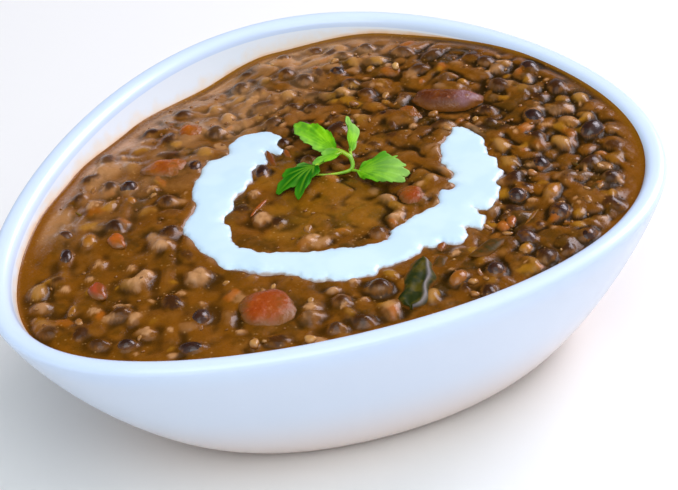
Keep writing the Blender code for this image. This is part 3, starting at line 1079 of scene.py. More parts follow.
@dataclass
class Pantry:
    """All the small pieces in the dal: the ones with known places, and many others round them."""

    level: DalLevel
    keep_off: Callable[[np.ndarray, np.ndarray], np.ndarray]
    seed: int = 7
    sunk_from: float = 0.18
    spots: dict[Kind, list[Spot]] = field(default_factory=lambda: {kind: [] for kind in Kind})
    mounds: list[tuple[Spot, list[Spot]]] = field(default_factory=list)

    # thickness as a share of the width, and lift as a share of the thickness
    STANCE = {Kind.DARK: (0.92, -0.02), Kind.GOLD: (0.92, -0.02), Kind.HERB: (0.3, 0.0)}

    # rows of x, y, length, width, turn, shade and gravy cover
    PLACED = {
        Kind.DARK: (
            (-58.3, -9.8, 8.0, 4.8, 66, 0.3, 0.35),
            (-58.3, -20.5, 8.0, 5.5, 28, 0.4, 0.10),
            (-68.4, -28.6, 8.0, 5.2, -48, 0.2, 0.10),
            (-38.6, -50.0, 5.0, 4.0, -30, 0.4, 0.50),
            (-62.4, 28.6, 7.0, 3.8, 47, 0.1, 0.00),
            (-45.2, 28.6, 6.4, 5.8, 60, 0.2, 0.20),
            (-71.4, 21.4, 4.4, 3.6, 10, 0.5, 0.50),
            (-40.4, 49.2, 4.6, 3.8, 30, 0.5, 0.50),
            (-31.4, 47.0, 5.6, 4.4, 70, 0.2, 0.30),
            (-28.8, 42.0, 6.0, 5.2, 20, 0.2, 0.10),
            (-22.0, 60.4, 8.0, 4.6, 38, 0.4, 0.50),
            (-9.6, 35.6, 7.2, 4.8, 36, 0.3, 0.15),
            (-2.5, 54.8, 6.0, 4.4, 10, 0.2, 0.40),
            (9.0, 47.0, 6.8, 4.8, 35, 0.1, 0.35),
            (33.0, 62.2, 6.4, 5.6, 45, 0.7, 0.40),
            (40.0, 67.0, 4.0, 3.4, 20, 0.3, 0.50),
            (54.0, 41.4, 6.6, 5.4, 70, 0.1, 0.15),
            (70.4, 45.4, 5.6, 5.0, 30, 0.4, 0.50),
            (34.2, 32.2, 4.8, 4.2, 20, 0.3, 0.20),
            (51.2, 33.0, 6.4, 5.4, 75, 0.4, 0.30),
            (49.8, 25.4, 6.2, 5.0, 20, 0.3, 0.50),
            (83.6, 8.2, 6.4, 5.2, 60, 0.3, 0.40),
            (88.8, -4.8, 8.2, 5.8, 62, 0.4, 0.15),
            (68.0, -24.0, 8.8, 6.4, 55, 0.2, 0.05),
            (73.0, -41.4, 9.0, 6.8, 12, 0.3, 0.00),
            (60.4, -31.8, 6.4, 5.0, 40, 0.2, 0.25),
            (51.0, -41.0, 6.4, 5.4, 50, 0.1, 0.10),
            (41.4, -40.2, 7.2, 5.0, 10, 0.1, 0.20),
            (34.6, -46.6, 6.4, 5.6, 60, 0.2, 0.10),
            (38.6, -46.2, 4.8, 4.0, 80, 0.2, 0.20),
            (50.2, -51.4, 8.0, 5.0, 18, 0.4, 0.15),
            (60.4, -51.4, 6.2, 4.2, 10, 0.1, 0.30),
            (36.0, -60.6, 8.2, 6.4, 35, 0.3, 0.15),
            (21.0, -61.8, 8.0, 5.8, 72, 0.7, 0.10),
            (4.6, -65.2, 7.0, 5.8, 40, 0.3, 0.10),
            (32.0, -73.2, 7.4, 5.0, 12, 0.2, 0.10),
            (17.0, -71.6, 6.8, 5.0, 20, 0.4, 0.20),
            (-0.2, 17.6, 9.0, 4.6, 48, 0.2, 0.10),
            (26.8, -28.6, 4.2, 2.4, 10, 0.2, 0.10),
            (15.6, 25.6, 4.4, 3.0, 60, 0.2, 0.20),
            (85.0, -18.6, 7.0, 5.6, 50, 0.8, 0.30),
            (76.0, -3.6, 7.0, 5.4, 60, 0.6, 0.30),
            (46.0, 47.2, 6.2, 5.4, 50, 0.5, 0.40),
            (46.2, 56.0, 7.0, 5.0, 40, 0.5, 0.50),
            (58.8, -15.8, 4.4, 3.6, 60, 0.2, 0.50),
            (69.8, 22.4, 7.0, 4.8, -20, 0.4, 0.60),
        ),
        Kind.GOLD: (
            (-54.2, 28.7, 7.2, 4.8, 40, 0.4, 0.10),
            (-77.0, 8.0, 5.4, 2.6, 32, 0.7, 0.10),
            (-77.6, 21.4, 7.4, 4.6, 40, 0.2, 0.60),
            (-33.4, 35.6, 4.4, 3.4, 60, 0.3, 0.10),
            (-22.2, 37.6, 5.0, 1.8, 85, 0.5, 0.05),
            (4.4, 63.4, 4.2, 3.0, 55, 0.3, 0.10),
            (17.4, 50.6, 6.0, 4.6, 55, 0.5, 0.20),
            (19.6, 59.4, 4.6, 3.6, 50, 0.5, 0.30),
            (52.0, 48.2, 7.6, 3.8, 62, 0.2, 0.10),
            (45.8, 31.4, 6.2, 4.8, 50, 0.5, 0.20),
            (61.8, 42.4, 5.4, 4.6, 70, 0.3, 0.30),
            (66.6, 36.4, 4.6, 4.0, 40, 0.1, 0.20),
            (61.8, 35.0, 3.6, 3.0, 30, 0.8, 0.10),
            (71.6, 6.4, 4.4, 3.2, 65, 0.7, 0.05),
            (77.8, -11.6, 5.8, 4.8, 60, 0.3, 0.00),
            (76.4, -36.6, 6.6, 4.6, 20, 0.6, 0.30),
            (62.8, -38.6, 7.0, 4.2, 74, 0.4, 0.30),
            (51.4, -26.2, 8.0, 4.2, 60, 0.4, 0.30),
            (42.0, -52.8, 9.2, 5.0, 22, 0.4, 0.00),
            (16.8, -65.0, 5.4, 4.2, 30, 0.6, 0.05),
            (-13.6, -59.6, 6.4, 4.2, 35, 0.5, 0.20),
            (-3.6, -59.8, 7.2, 5.0, 15, 0.1, 0.10),
            (84.2, -28.0, 6.0, 4.6, 55, 0.4, 0.20),
            (36.2, 44.2, 6.4, 5.4, 55, 0.2, 0.40),
            (-1.6, 40.2, 6.2, 4.8, 70, 0.2, 0.40),
            (-3.0, 50.8, 3.6, 2.8, 20, 0.5, 0.30),
        ),
        Kind.PALE: (
            (-46.6, -6.6, 7.2, 5.8, 55, 0.6, 0.05),
            (-57.0, 3.8, 8.4, 5.6, 35, 0.9, 0.00),
            (-55.0, 10.2, 4.2, 2.4, 80, 0.9, 0.00),
            (-53.8, -8.0, 3.6, 2.2, 65, 0.8, 0.00),
            (-71.4, -14.0, 5.0, 3.0, -60, 0.6, 0.00),
            (-68.4, -1.0, 5.0, 3.4, 70, 0.8, 0.00),
            (-74.0, -2.6, 3.8, 2.8, 20, 0.7, 0.20),
            (-74.0, 3.0, 4.4, 3.0, 60, 0.5, 0.20),
            (-69.0, -7.4, 4.8, 3.0, 40, 0.4, 0.20),
            (-59.2, 18.0, 4.6, 2.0, 70, 0.6, 0.00),
            (-72.2, 17.2, 3.4, 2.6, 40, 0.4, 0.20),
            (-43.0, 12.4, 6.8, 5.6, 60, 0.2, 0.20),
            (-41.2, 42.6, 6.2, 4.6, 50, 0.3, 0.00),
            (-37.2, -38.8, 4.0, 3.0, 40, 0.9, 0.10),
            (-34.9, -37.0, 2.6, 2.0, 50, 0.8, 0.00),
            (-31.2, -45.2, 3.6, 2.0, 45, 0.8, 0.00),
            (-43.2, -13.8, 2.2, 1.8, 10, 0.7, 0.00),
            (-25.4, 36.0, 4.0, 2.2, 80, 0.4, 0.00),
            (28.8, 52.2, 5.2, 4.0, 55, 0.8, 0.10),
            (53.4, 20.8, 3.4, 2.2, 30, 0.6, 0.00),
            (74.6, -26.9, 3.8, 3.4, 30, 0.9, 0.00),
            (57.6, -11.3, 2.8, 2.2, 60, 0.8, 0.00),
            (-16.4, 0.0, 5.2, 4.2, 60, 0.5, 0.10),
            (-9.6, 11.0, 4.2, 2.4, 20, 0.5, 0.10),
            (-12.4, -13.2, 3.4, 2.6, 40, 0.6, 0.10),
            (-15.2, -17.6, 4.6, 3.0, 30, 0.5, 0.10),
            (8.2, -27.0, 5.2, 3.4, 25, 0.4, 0.00),
            (4.0, -51.4, 4.4, 2.0, 20, 0.9, 0.00),
            (44.2, -63.4, 3.4, 2.6, 60, 0.6, 0.10),
            (51.8, -61.6, 2.4, 1.8, 20, 0.7, 0.00),
        ),
        Kind.ORANGE: (
            (-50.0, 22.0, 6.6, 5.2, 70, 0.3, 0.10),
            (-46.2, -19.2, 5.2, 4.0, 20, 0.5, 0.50),
            (-24.6, -56.0, 5.2, 4.0, 50, 0.4, 0.30),
            (24.4, -53.4, 5.0, 3.0, 40, 0.5, 0.10),
            (11.6, 19.6, 5.0, 1.8, 65, 0.6, 0.10),
            (-13.2, 5.4, 8.6, 1.4, 18, 0.8, 0.00),
        ),
        Kind.RED: (
            (-68.0, 8.6, 7.0, 5.4, 65, 0.5, 0.05),
            (22.0, -53.0, 4.0, 3.2, 60, 0.1, 0.20),
            (4.4, -46.4, 3.6, 2.6, 30, 0.6, 0.10),
            (6.8, 21.4, 9.4, 2.2, 62, 0.0, 0.00),
            (74.4, 17.4, 5.0, 3.8, 60, 0.4, 0.60),
        ),
        Kind.HERB: (
            (-53.2, 15.0, 9.0, 2.0, -52, 0.2, 0.20),
            (-50.4, 7.0, 5.4, 1.8, 70, 0.3, 0.20),
            (-58.2, -11.6, 4.4, 2.4, 60, 0.5, 0.30),
            (11.0, -57.2, 12.6, 5.6, -20, 0.0, 0.00),
            (-1.0, -51.0, 5.6, 4.4, -15, 0.0, 0.00),
            (29.6, -56.0, 9.6, 1.2, 12, 0.8, 0.10),
            (21.8, 66.8, 5.4, 3.4, 40, 0.6, 0.30),
            (39.4, 22.2, 4.4, 0.9, 28, 0.1, 0.00),
            (40.6, -6.6, 5.4, 2.4, 30, 0.5, 0.40),
            (-21.6, 58.2, 6.4, 2.6, 42, 0.7, 0.30),
        ),
    }

    def add_placed(self) -> None:
        """Lay the pieces whose places are known."""
        for kind, rows in self.PLACED.items():
            for x, y, length, width, turn, shade, cover in rows:
                plump, rise = self.STANCE.get(kind, (0.75, -0.10))
                height = width * plump
                lift = height * rise
                spot = Spot(x, y, (length, width, height), turn, 0.0, lift, shade, cover)
                if kind is Kind.PALE and length > 3.5:
                    self.mounds.append((spot, self.broken(spot)))
                else:
                    self.spots[kind].append(spot)

    def broken(self, whole: Spot, parts: int = 9) -> list[Spot]:
        """The fragments that a burst lentil has fallen into, close together on a mound of its mush."""
        random = np.random.default_rng(self.seed + int(abs(whole.x * 10)) + int(abs(whole.y * 10)))
        fragments = []
        for _ in range(parts):
            angle, far = random.uniform(0, 2 * math.pi), random.uniform(0.10, 0.44)
            x = whole.x + whole.size[0] * far * math.cos(angle)
            y = whole.y + whole.size[1] * far * math.sin(angle)
            length = whole.size[0] * random.uniform(0.22, 0.42)
            size = (length, length * random.uniform(0.6, 0.95), length * random.uniform(0.5, 0.8))
            lift = whole.size[2] * random.uniform(0.1, 0.45)
            fragments.append(Spot(x, y, size, random.uniform(0, 180), lift=lift))
        return fragments

    def crowding(self, x: np.ndarray, y: np.ndarray) -> np.ndarray:
        """Share of places that hold a bean: high on the right and at the back, low on the left."""
        right = smooth(x, -35.0, 30.0)
        back = smooth(y, 15.0, 40.0)
        inside = within_u(x, y, 0.85, 1.1) * (x < 38)
        return np.clip(0.18 + 0.68 * right * (1 - 0.45 * back) + 0.10 * back, 0, 1) * (1 - 0.97 * inside)

    def wall_band(self, x: np.ndarray, y: np.ndarray) -> np.ndarray:
        """Width of the calm gravy along the wall, which is widest on the right."""
        direction = np.degrees(np.arctan2(y, x))
        return 3.4 + 1.6 * smooth(x + y, -40.0, 20.0) + 3.4 * np.exp(-(((direction + 32) / 24) ** 2))

    def strew(self, kind: Kind, count: int, sizes: tuple[float, float], gap: float, **looks: tuple) -> None:
        """Lay more pieces of a kind between those that lie there already.

        Args:
            kind: the kind of piece.
            count: number of places tried.
            sizes: shortest and longest piece, in millimetres.
            gap: distance to a neighbour, as a share of both half lengths; below 1 they may touch.
            looks: lowest and highest slimness, lift, shade and cover.
        """
        random = np.random.default_rng(self.seed + len(kind.value) * 31 + count)
        taken = [(spot.x, spot.y, spot.size[0] / 2) for spots in self.spots.values() for spot in spots]
        slim, lift = looks.get("slim", (0.7, 0.85)), looks.get("lift", (0.05, 0.25))
        shade, cover = looks.get("shade", (0.0, 1.0)), looks.get("cover", (0.2, 0.8))
        tries = random.uniform((-98, -82), (98, 82), (count * 4, 2))
        inside = self.level.to_wall(*tries.T) > self.wall_band(*tries.T)
        wanted = random.uniform(0, 1, len(tries)) < self.crowding(*tries.T)
        free = self.keep_off(*tries.T) > sizes[0] / 2
        for x, y in tries[inside & wanted & free][:count]:
            length = random.uniform(*sizes)
            near = np.array(taken)
            if len(near) and np.any(np.hypot(near[:, 0] - x, near[:, 1] - y) < gap * (near[:, 2] + length / 2)):
                continue
            width = length * random.uniform(*slim)
            height = width * random.uniform(0.8, 1.0)
            piece = Spot(float(x), float(y), (length, width, height), random.uniform(0, 180))
            piece.tilt = random.uniform(-18, 18)
            piece.lift = height * random.uniform(*lift)
            piece.shade, piece.cover = random.uniform(*shade), random.uniform(*cover)
            self.spots[kind].append(piece)
            taken.append((x, y, length / 2))

    def fill(self) -> None:
        """Lay every small piece."""
        self.add_placed()
        self.strew(Kind.DARK, 190, (5.0, 7.4), 1.15, slim=(0.68, 0.85), lift=(-0.14, 0.04), cover=(0.1, 0.9))
        self.strew(Kind.BROWN, 300, (4.6, 7.6), 1.08, slim=(0.6, 0.85), lift=(-0.32, 0.0), shade=(0.0, 1.0))
        self.strew(Kind.GOLD, 60, (3.4, 6.0), 1.0, slim=(0.6, 0.85), lift=(-0.2, 0.0), cover=(0.1, 0.9))
        self.strew(Kind.PALE, 240, (1.4, 3.2), 0.9, slim=(0.4, 0.9), lift=(0.0, 0.2), cover=(0.0, 0.6))
        self.strew(Kind.SKIN, 40, (3.0, 5.0), 1.0, slim=(0.5, 0.8), lift=(-0.1, 0.1), cover=(0.2, 0.6))
        self.strew(Kind.ORANGE, 40, (2.2, 4.6), 0.9, slim=(0.6, 0.9), lift=(-0.1, 0.1), cover=(0.3, 0.9))
        self.strew(Kind.RED, 16, (1.6, 3.0), 0.9, slim=(0.4, 0.8), lift=(0.0, 0.2), cover=(0.2, 0.7))
        self.strew(Kind.HERB, 40, (2.0, 4.0), 0.9, slim=(0.2, 0.4), lift=(0.2, 0.4), cover=(0.0, 0.5))

    def bare(self, kind: Kind) -> list[Spot]:
        """The pieces of a kind that show through the gravy as themselves."""
        return [] if kind is Kind.BROWN else [spot for spot in self.spots[kind] if spot.cover < self.sunk_from]

    def soft_lumps(self, relief: Relief, count: int = 620) -> None:
        """Soft lumps and stains of burst lentils, tomato and skins, all under the gravy's surface."""
        random = np.random.default_rng(self.seed + 5)
        places = random.uniform((-96, -80), (96, 80), (count, 2))
        inside = (self.level.to_wall(*places.T) > self.wall_band(*places.T)) & (self.keep_off(*places.T) > 1.0)
        middle = np.hypot((places[:, 0] - 4) / 34, (places[:, 1] + 3) / 27) < 0.9
        wanted = random.uniform(0, 1, count) < 0.2 + self.crowding(*places.T) + 0.4 * middle
        for x, y in places[inside & wanted]:
            length = random.uniform(2.0, 6.5)
            size = (length, length * random.uniform(0.45, 0.9), length * random.uniform(0.25, 0.5))
            spot = Spot(float(x), float(y), size, random.uniform(0, 180), lift=random.uniform(-0.5, 0.5))
            tint = random.choice(["gold", "pale", "orange", "skin"], p=[0.36, 0.26, 0.16, 0.22])
            relief.swell(spot, 0.1, 0.9, str(tint), random.uniform(0.2, 0.95))

    def press_into(self, relief: Relief) -> None:
        """Draw the gravy up round the pieces, and over those that lie under it."""
        self.soft_lumps(relief)
        for spot in self.spots[Kind.BROWN]:
            tint = "skin" if spot.shade < 0.72 else "gold"
            relief.swell(spot, 0.12, 1.7, tint, 1.0 - 0.7 * spot.shade)
        for whole, fragments in self.mounds:
            relief.swell(whole, 0.1, 1.6, "pale", 0.6)
            for fragment in fragments:
                relief.swell(fragment, 0.05, 0.5, "pale", 1.0)
        tints = {Kind.DARK: "skin", Kind.GOLD: "gold", Kind.PALE: "pale", Kind.ORANGE: "orange", Kind.RED: "orange"}
        for kind, tint in tints.items():
            blend = 2.0 if kind in (Kind.DARK, Kind.GOLD) else 0.9
            for spot in self.spots[kind]:
                if spot.cover < self.sunk_from:
                    relief.swell(spot, -0.26 + 0.35 * spot.cover, blend, tint, 0.5)
                else:
                    relief.swell(spot, 0.1, 1.4, tint, 1.1 - 0.5 * spot.cover)

    def build(self, surface: Callable[[np.ndarray, np.ndarray], np.ndarray]) -> list[bpy.types.Object]:
        """Make one piece for each kind.

        Args:
            surface: height of the finished dal, on which thin bits lie.

        Returns:
            The finished pieces.
        """
        dark, brown = srgb(34, 16, 12), srgb(80, 46, 28)
        looks = {
            Kind.DARK: (gram_form, Coated("gram_skin", dark, brown), "kidney_bean_skin"),
            Kind.GOLD: (gram_form, Coated("gold_lentil", srgb(150, 84, 16), srgb(172, 116, 34)), "tomato_orange"),
            Kind.PALE: (burst_form, Coated("pale_lentil", srgb(172, 108, 50), srgb(206, 156, 88)), "dal_gravy"),
            Kind.ORANGE: (burst_form, Coated("orange_flesh", srgb(188, 94, 18), srgb(176, 80, 30)), "tomato_orange"),
            Kind.RED: (burst_form, Coated("red_flesh", srgb(112, 44, 18), srgb(186, 78, 44)), "tomato_red"),
            Kind.HERB: (strand_form, Coated("herb_leaf", srgb(24, 32, 6), srgb(98, 92, 24), roughness=0.4, specular=0.12), "wilted_green"),
            Kind.SKIN: (skin_form, Coated("loose_skin", srgb(92, 52, 30), srgb(160, 112, 76)), "dal_gravy"),
        }
        pieces = []
        for kind, (form, finish, slot) in looks.items():
            if not self.bare(kind):
                continue
            lies_on = self.level.height if kind in (Kind.DARK, Kind.BROWN, Kind.GOLD) else surface
            shape = template(f"{kind.value}_template", form, sides=14, rings=9)
            pieces.append(Scatter(kind.value, shape, self.bare(kind), lies_on, slot).build(finish.build()))
        return pieces

    def crumbs(self, surface: Callable[[np.ndarray, np.ndarray], np.ndarray], count: int = 280) -> bpy.types.Object:
        """Pale crumbs of burst lentils, strewn over the gravy."""
        random = np.random.default_rng(self.seed)
        places = random.uniform((-96, -80), (96, 80), (count * 2, 2))
        free = (self.level.to_wall(*places.T) > 3.0) & (self.keep_off(*places.T) > 0.5)
        patchy = grain(*places.T, 9.0, 31) + random.uniform(-0.6, 0.6, len(places)) > 0
        spots = []
        for x, y in places[free & patchy][:count]:
            length = random.uniform(0.5, 1.4)
            size = (length, length * random.uniform(0.5, 1.0), length * random.uniform(0.4, 0.7))
            looks = {"shade": random.uniform(0, 1), "cover": random.uniform(0.0, 0.4)}
            spots.append(Spot(float(x), float(y), size, random.uniform(0, 180), lift=0.1, **looks))
        shape = template("crumb_template", crumb_form, sides=6, rings=3)
        finish = Coated("crumb_flesh", srgb(166, 108, 62), srgb(214, 168, 104))
        return Scatter("crumbs", shape, spots, surface, "dal_gravy").build(finish.build())


# --- Large pieces ---------------------------------------------------------------------------------


@dataclass(frozen=True)
class Flesh:
    """Finish of a large soft piece, with gravy on its lower part and in patches, and a painted highlight at one end
    where a tip colour is given.
    """

    name: str
    body: Color
    other: Color
    film: Color = srgb(124, 74, 20)
    gloss: float = 0.2
    coverage: float = 0.5
    # painted highlight colour at one end, if any
    tip: Optional[Color] = None

    def build(self) -> bpy.types.Material:
        """Make the material."""
        graph = Graph(self.name, ior=1.42, roughness=self.gloss, specular_ior_level=0.4)
        blotch = graph.noise(5.0, 3.0, 0.6)
        body = graph.mix(self.body, self.other, blotch.step(0.4, 0.62))
        # painted highlight towards one end of the piece
        if self.tip:
            body = graph.mix(body, self.tip, graph.attribute("along").step(0.05, 0.55) * 0.8)
        low = 1 - (graph.attribute("above") + (blotch - 0.5) * 4.0).step(0.3, 3.0)
        patches = graph.noise(4.0, 4.0, 0.6).step(0.66 - self.coverage * 0.25, 0.84 - self.coverage * 0.25)
        body = graph.mix(body, srgb(206, 122, 74), graph.noise(1.6, 2.0).step(0.60, 0.78) * 0.5)
        graph.feed(base_color=graph.mix(body, self.film, graph.math("MAXIMUM", low, patches * 0.9)))
        graph.bump(graph.noise(1.8, 4.0, 0.65), 0.5)
        return graph.material


@dataclass(frozen=True)
class Chunk:
    """A large piece half sunk in the dal."""

    node: str
    x: float
    y: float
    size: tuple[float, float, float]
    turn: float
    lift: float
    finish: Flesh
    slot: str
    bend: float = 0.0
    lumps: float = 0.10
    square: float = 0.85

    def spot(self) -> Spot:
        """The chunk as a spot, for the gravy round it."""
        return Spot(self.x, self.y, self.size, self.turn, 0.0, self.lift)

    def build(self, level: DalLevel, sides: int = 64, rings: int = 48) -> bpy.types.Object:
        """Make the chunk's piece."""
        points, faces = sphere_net(sides, rings)
        points = np.sign(points) * np.abs(points) ** self.square
        coarse = grain(points[:, 0] * 1.3 + self.x, points[:, 1] * 1.3 + 2 * points[:, 2], 0.9, 41)
        fine = grain(points[:, 0] * 4 + self.y, points[:, 1] * 4 + 3 * points[:, 2], 0.9, 42)
        points *= (1 + self.lumps * coarse + 0.35 * self.lumps * fine)[:, None]
        along = points[:, 0].copy()
        points *= np.array(self.size) / 2
        points[:, 1] += self.bend * (points[:, 0] ** 2 / self.size[0] * 4 - self.size[0] / 4)
        angle = math.radians(self.turn)
        x = self.x + points[:, 0] * math.cos(angle) - points[:, 1] * math.sin(angle)
        y = self.y + points[:, 0] * math.sin(angle) + points[:, 1] * math.cos(angle)
        middle = level.height(np.array(self.x), np.array(self.y)) + self.lift
        z = middle + points[:, 2]
        above = z - level.height(x, y)
        values = {"above": above, "along": along}
        piece = add_piece(f"{self.node}_look", np.stack([x, y, z], axis=1), faces, self.finish.build(), values)
        outward(piece)
        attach(piece, BODY)
        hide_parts(self.node)
        return piece


def chunks() -> list[Chunk]:
    """The large pieces: one kidney bean and five lumps of tomato."""
    red = Flesh("red_tomato", srgb(168, 66, 12), srgb(148, 58, 6), coverage=0.62)
    orange = Flesh("orange_tomato", srgb(184, 92, 10), srgb(144, 66, 8), coverage=0.7)
    # the bean's last colour is a painted lilac highlight at one end
    bean = Flesh("kidney_bean_skin", srgb(92, 40, 6), srgb(112, 56, 14), srgb(126, 72, 18), 0.24, 0.6, srgb(134, 92, 98))
    return [
        Chunk("kidney_bean", 61.0, 2.8, (21.0, 9.5, 8.5), -55.0, -0.6, bean, "kidney_bean_skin", 0.09, 0.05, 0.84),
        Chunk("tomato_chunk_front", -44.3, -31.0, (15.5, 15.6, 8.4), 60.0, -1.9, red, "tomato_red", square=0.72),
        Chunk("tomato_chunk_left", -15.0, 41.5, (14.5, 11.0, 8.0), -30.0, -1.6, orange, "tomato_orange", 0.10),
        Chunk("tomato_chunk_back", 4.5, 53.0, (10.0, 8.0, 7.0), 15.0, -1.2, orange, "tomato_orange"),
        Chunk("tomato_chunk_middle", 17.5, -23.5, (10.0, 8.0, 7.0), 75.0, -1.4, red, "tomato_red"),
        Chunk("tomato_chunk_right", 49.0, 7.0, (9.5, 6.5, 6.0), 75.0, -1.3, orange, "tomato_orange"),
    ]


# --- Cream ----------------------------------------------------------------------------------------


@dataclass
class Cream:
    """The U of cream: a thin flat pool with ragged edges that sink into the gravy."""

    level: DalLevel
    thickness: float = 0.95
    below: float = 1.6
    margin: float = 1.4
    cell: float = 0.42

    # outline in plan, from the left arm's end along the U's inner side to the right arm and back
    OUTLINE = (
        (17.0, 27.0), (14.8, 26.2), (13.0, 22.6), (10.6, 21.6), (9.6, 24.0), (9.0, 26.0), (6.0, 21.6), (4.2, 20.8),
        (2.6, 22.2), (0.2, 21.2), (-3.0, 18.6), (-5.8, 16.0), (-9.6, 15.2), (-12.0, 14.8), (-15.0, 13.0), (-18.4, 9.8),
        (-22.2, 9.2), (-23.8, 7.4), (-23.6, 5.2), (-26.2, 2.0), (-29.0, -1.4), (-29.7, -4.8), (-28.7, -9.2), (-26.6, -13.6),
        (-23.4, -17.0), (-20.6, -21.2), (-15.8, -24.2), (-11.8, -27.0), (-9.4, -29.2), (-6.2, -31.0), (-1.8, -32.6),
        (1.6, -30.6), (8.2, -29.8), (13.8, -31.0), (19.2, -31.6), (22.0, -29.2), (24.8, -27.6), (26.0, -29.6), (28.2, -29.8),
        (29.0, -26.4), (32.6, -24.8), (34.0, -20.4), (35.4, -18.0), (38.2, -15.8), (40.4, -12.6), (43.8, -10.6),
        (46.8, -10.2), (50.4, -8.2), (53.0, -10.2), (53.0, -14.8), (52.0, -19.2), (49.0, -22.8), (46.6, -25.6), (46.4, -29.2),
        (43.6, -32.0), (42.6, -35.4), (40.0, -36.4), (36.6, -37.6), (35.0, -41.0), (31.0, -43.4), (25.6, -45.0), (24.2, -44.8),
        (23.5, -41.0), (22.6, -45.6), (20.0, -48.4), (17.2, -49.4), (16.6, -45.2), (14.6, -45.2), (13.2, -48.6), (10.0, -49.4),
        (7.4, -47.6), (6.4, -45.2), (3.2, -44.4), (1.6, -42.4), (0.0, -43.6), (-5.0, -43.2), (-10.0, -42.4), (-12.4, -40.8),
        (-16.0, -41.8), (-18.6, -40.4), (-22.0, -38.4), (-25.2, -35.2), (-25.6, -33.4), (-27.6, -31.8), (-29.4, -28.4),
        (-30.2, -25.2), (-31.0, -22.0), (-33.0, -19.6), (-35.6, -17.8), (-36.4, -14.6), (-38.4, -11.6), (-39.7, -9.4),
        (-39.2, -6.4), (-38.0, -3.4), (-38.4, 1.4), (-37.0, 5.0), (-35.6, 8.6), (-35.0, 12.2), (-32.8, 14.6), (-30.6, 16.4),
        (-25.8, 18.6), (-22.4, 20.8), (-21.4, 23.4), (-19.6, 25.4), (-17.4, 28.0), (-13.2, 30.4), (-9.2, 33.2), (-6.0, 35.2),
        (-4.2, 36.0), (-1.6, 34.4), (1.4, 34.2), (4.0, 35.6), (5.8, 37.8), (9.4, 39.6), (12.4, 39.2), (15.4, 37.4),
        (17.6, 34.2), (18.4, 30.6),
    )

    def distance(self, x: np.ndarray, y: np.ndarray) -> np.ndarray:
        """Distance of places from the outline in plan, positive inside it."""
        corners = np.array(self.OUTLINE)
        following = np.roll(corners, -1, axis=0)
        nearest = np.full(x.shape, np.inf)
        inside = np.zeros(x.shape, bool)
        for (ax, ay), (bx, by) in zip(corners, following):
            along = ((x - ax) * (bx - ax) + (y - ay) * (by - ay)) / ((bx - ax) ** 2 + (by - ay) ** 2)
            along = np.clip(along, 0, 1)
            nearest = np.minimum(nearest, np.hypot(x - ax - along * (bx - ax), y - ay - along * (by - ay)))
            if ay != by:
                inside ^= ((ay > y) != (by > y)) & (x < (bx - ax) * (y - ay) / (by - ay) + ax)
        return np.where(inside, nearest, -nearest)

    def shape(self, x: np.ndarray, y: np.ndarray) -> np.ndarray:
        """Distance from the ragged edge, positive inside it."""
        ragged = 0.45 * grain(x, y, 2.2, 51) + 0.22 * grain(x, y, 1.0, 52)
        return self.distance(x, y) + ragged

    def dip(self, relief: Relief) -> None:
        """Let the gravy give way under the cream."""
        inside = self.shape(relief.x, relief.y)
        sunk = smooth(inside, -0.4, 1.4)
        calm = relief.level.height(relief.x, relief.y) - 0.5
        relief.height += (np.minimum(calm, relief.height) - relief.height) * sunk

    def build(self) -> bpy.types.Object:
        """Make the cream's piece."""
        x, y = np.meshgrid(np.arange(-43, 57, self.cell), np.arange(-53, 43, self.cell), indexing="ij")
        inside = self.shape(x, y)
        level = self.level.height(x, y)
        bulge = np.where(inside > 0, 1 - np.exp(-np.clip(inside, 0, None) / 0.8), 1.1 * inside)
        waves = 0.10 * grain(x, y, 9.0, 53) + 0.02 * grain(x, y, 3.0, 54)
        top = level + 0.15 + self.thickness * bulge + waves * smooth(inside, 0.5, 3.0)
        bottom = level - self.below - 0.4
        points, faces = slab(x, y, np.maximum(top, bottom + 0.2), bottom, inside > -self.margin)
        graph = Graph("cream", roughness=0.32, ior=1.4, coat_weight=0.15, coat_roughness=0.15)
        stain = 1 - (graph.attribute("inside") + (graph.noise(2.0, 3.0) - 0.5) * 1.2).step(-0.2, 0.55)
        white = graph.mix(srgb(211, 232, 241), srgb(204, 227, 243), graph.noise(12.0, 2.0).step(0.4, 0.6))
        graph.feed(base_color=graph.mix(white, srgb(150, 104, 64), stain * 0.8))
        value = np.concatenate([inside.ravel(), inside.ravel()])
        piece = add_piece("cream_swirl", points, faces, graph.material, {"inside": value})
        tidy_loose(piece)
        outward(piece)
        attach(piece, BODY)
        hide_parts("cream")
        return piece


def slab(
    x: np.ndarray, y: np.ndarray, top: np.ndarray, bottom: np.ndarray, keep: np.ndarray
) -> tuple[np.ndarray, list[tuple[int, ...]]]:
    """Closed plate over the kept part of a grid.

    Args:
        x: the grid's x coordinates.
        y: its y coordinates.
        top: heights of the upper side.
        bottom: heights of the lower side.
        keep: which grid points belong to the plate.

    Returns:
        Points, of which some belong to no face, and faces.
    """
    columns, rows = x.shape
    size = columns * rows
    number = np.arange(size).reshape(columns, rows)
    cells = keep[:-1, :-1] & keep[1:, :-1] & keep[1:, 1:] & keep[:-1, 1:]
    quads = np.stack([number[:-1, :-1], number[1:, :-1], number[1:, 1:], number[:-1, 1:]], axis=-1)[cells]
    faces = quads.tolist() + (quads[:, ::-1] + size).tolist()
    edges = {(a, b) for quad in quads.tolist() for a, b in zip(quad, quad[1:] + quad[:1])}
    faces += [(b, a, a + size, b + size) for a, b in edges if (b, a) not in edges]
    upper = np.stack([x, y, top], axis=-1).reshape(-1, 3)
    lower = np.stack([x, y, bottom], axis=-1).reshape(-1, 3)
    return np.concatenate([upper, lower]), faces


def tidy_loose(item: bpy.types.Object) -> None:
    """Remove a mesh's vertices that belong to no face."""
    mesh_data = bmesh.new()
    mesh_data.from_mesh(item.data)
    loose = [vertex for vertex in mesh_data.verts if not vertex.link_faces]
    bmesh.ops.delete(mesh_data, geom=loose, context="VERTS")
    mesh_data.to_mesh(item.data)
    mesh_data.free()


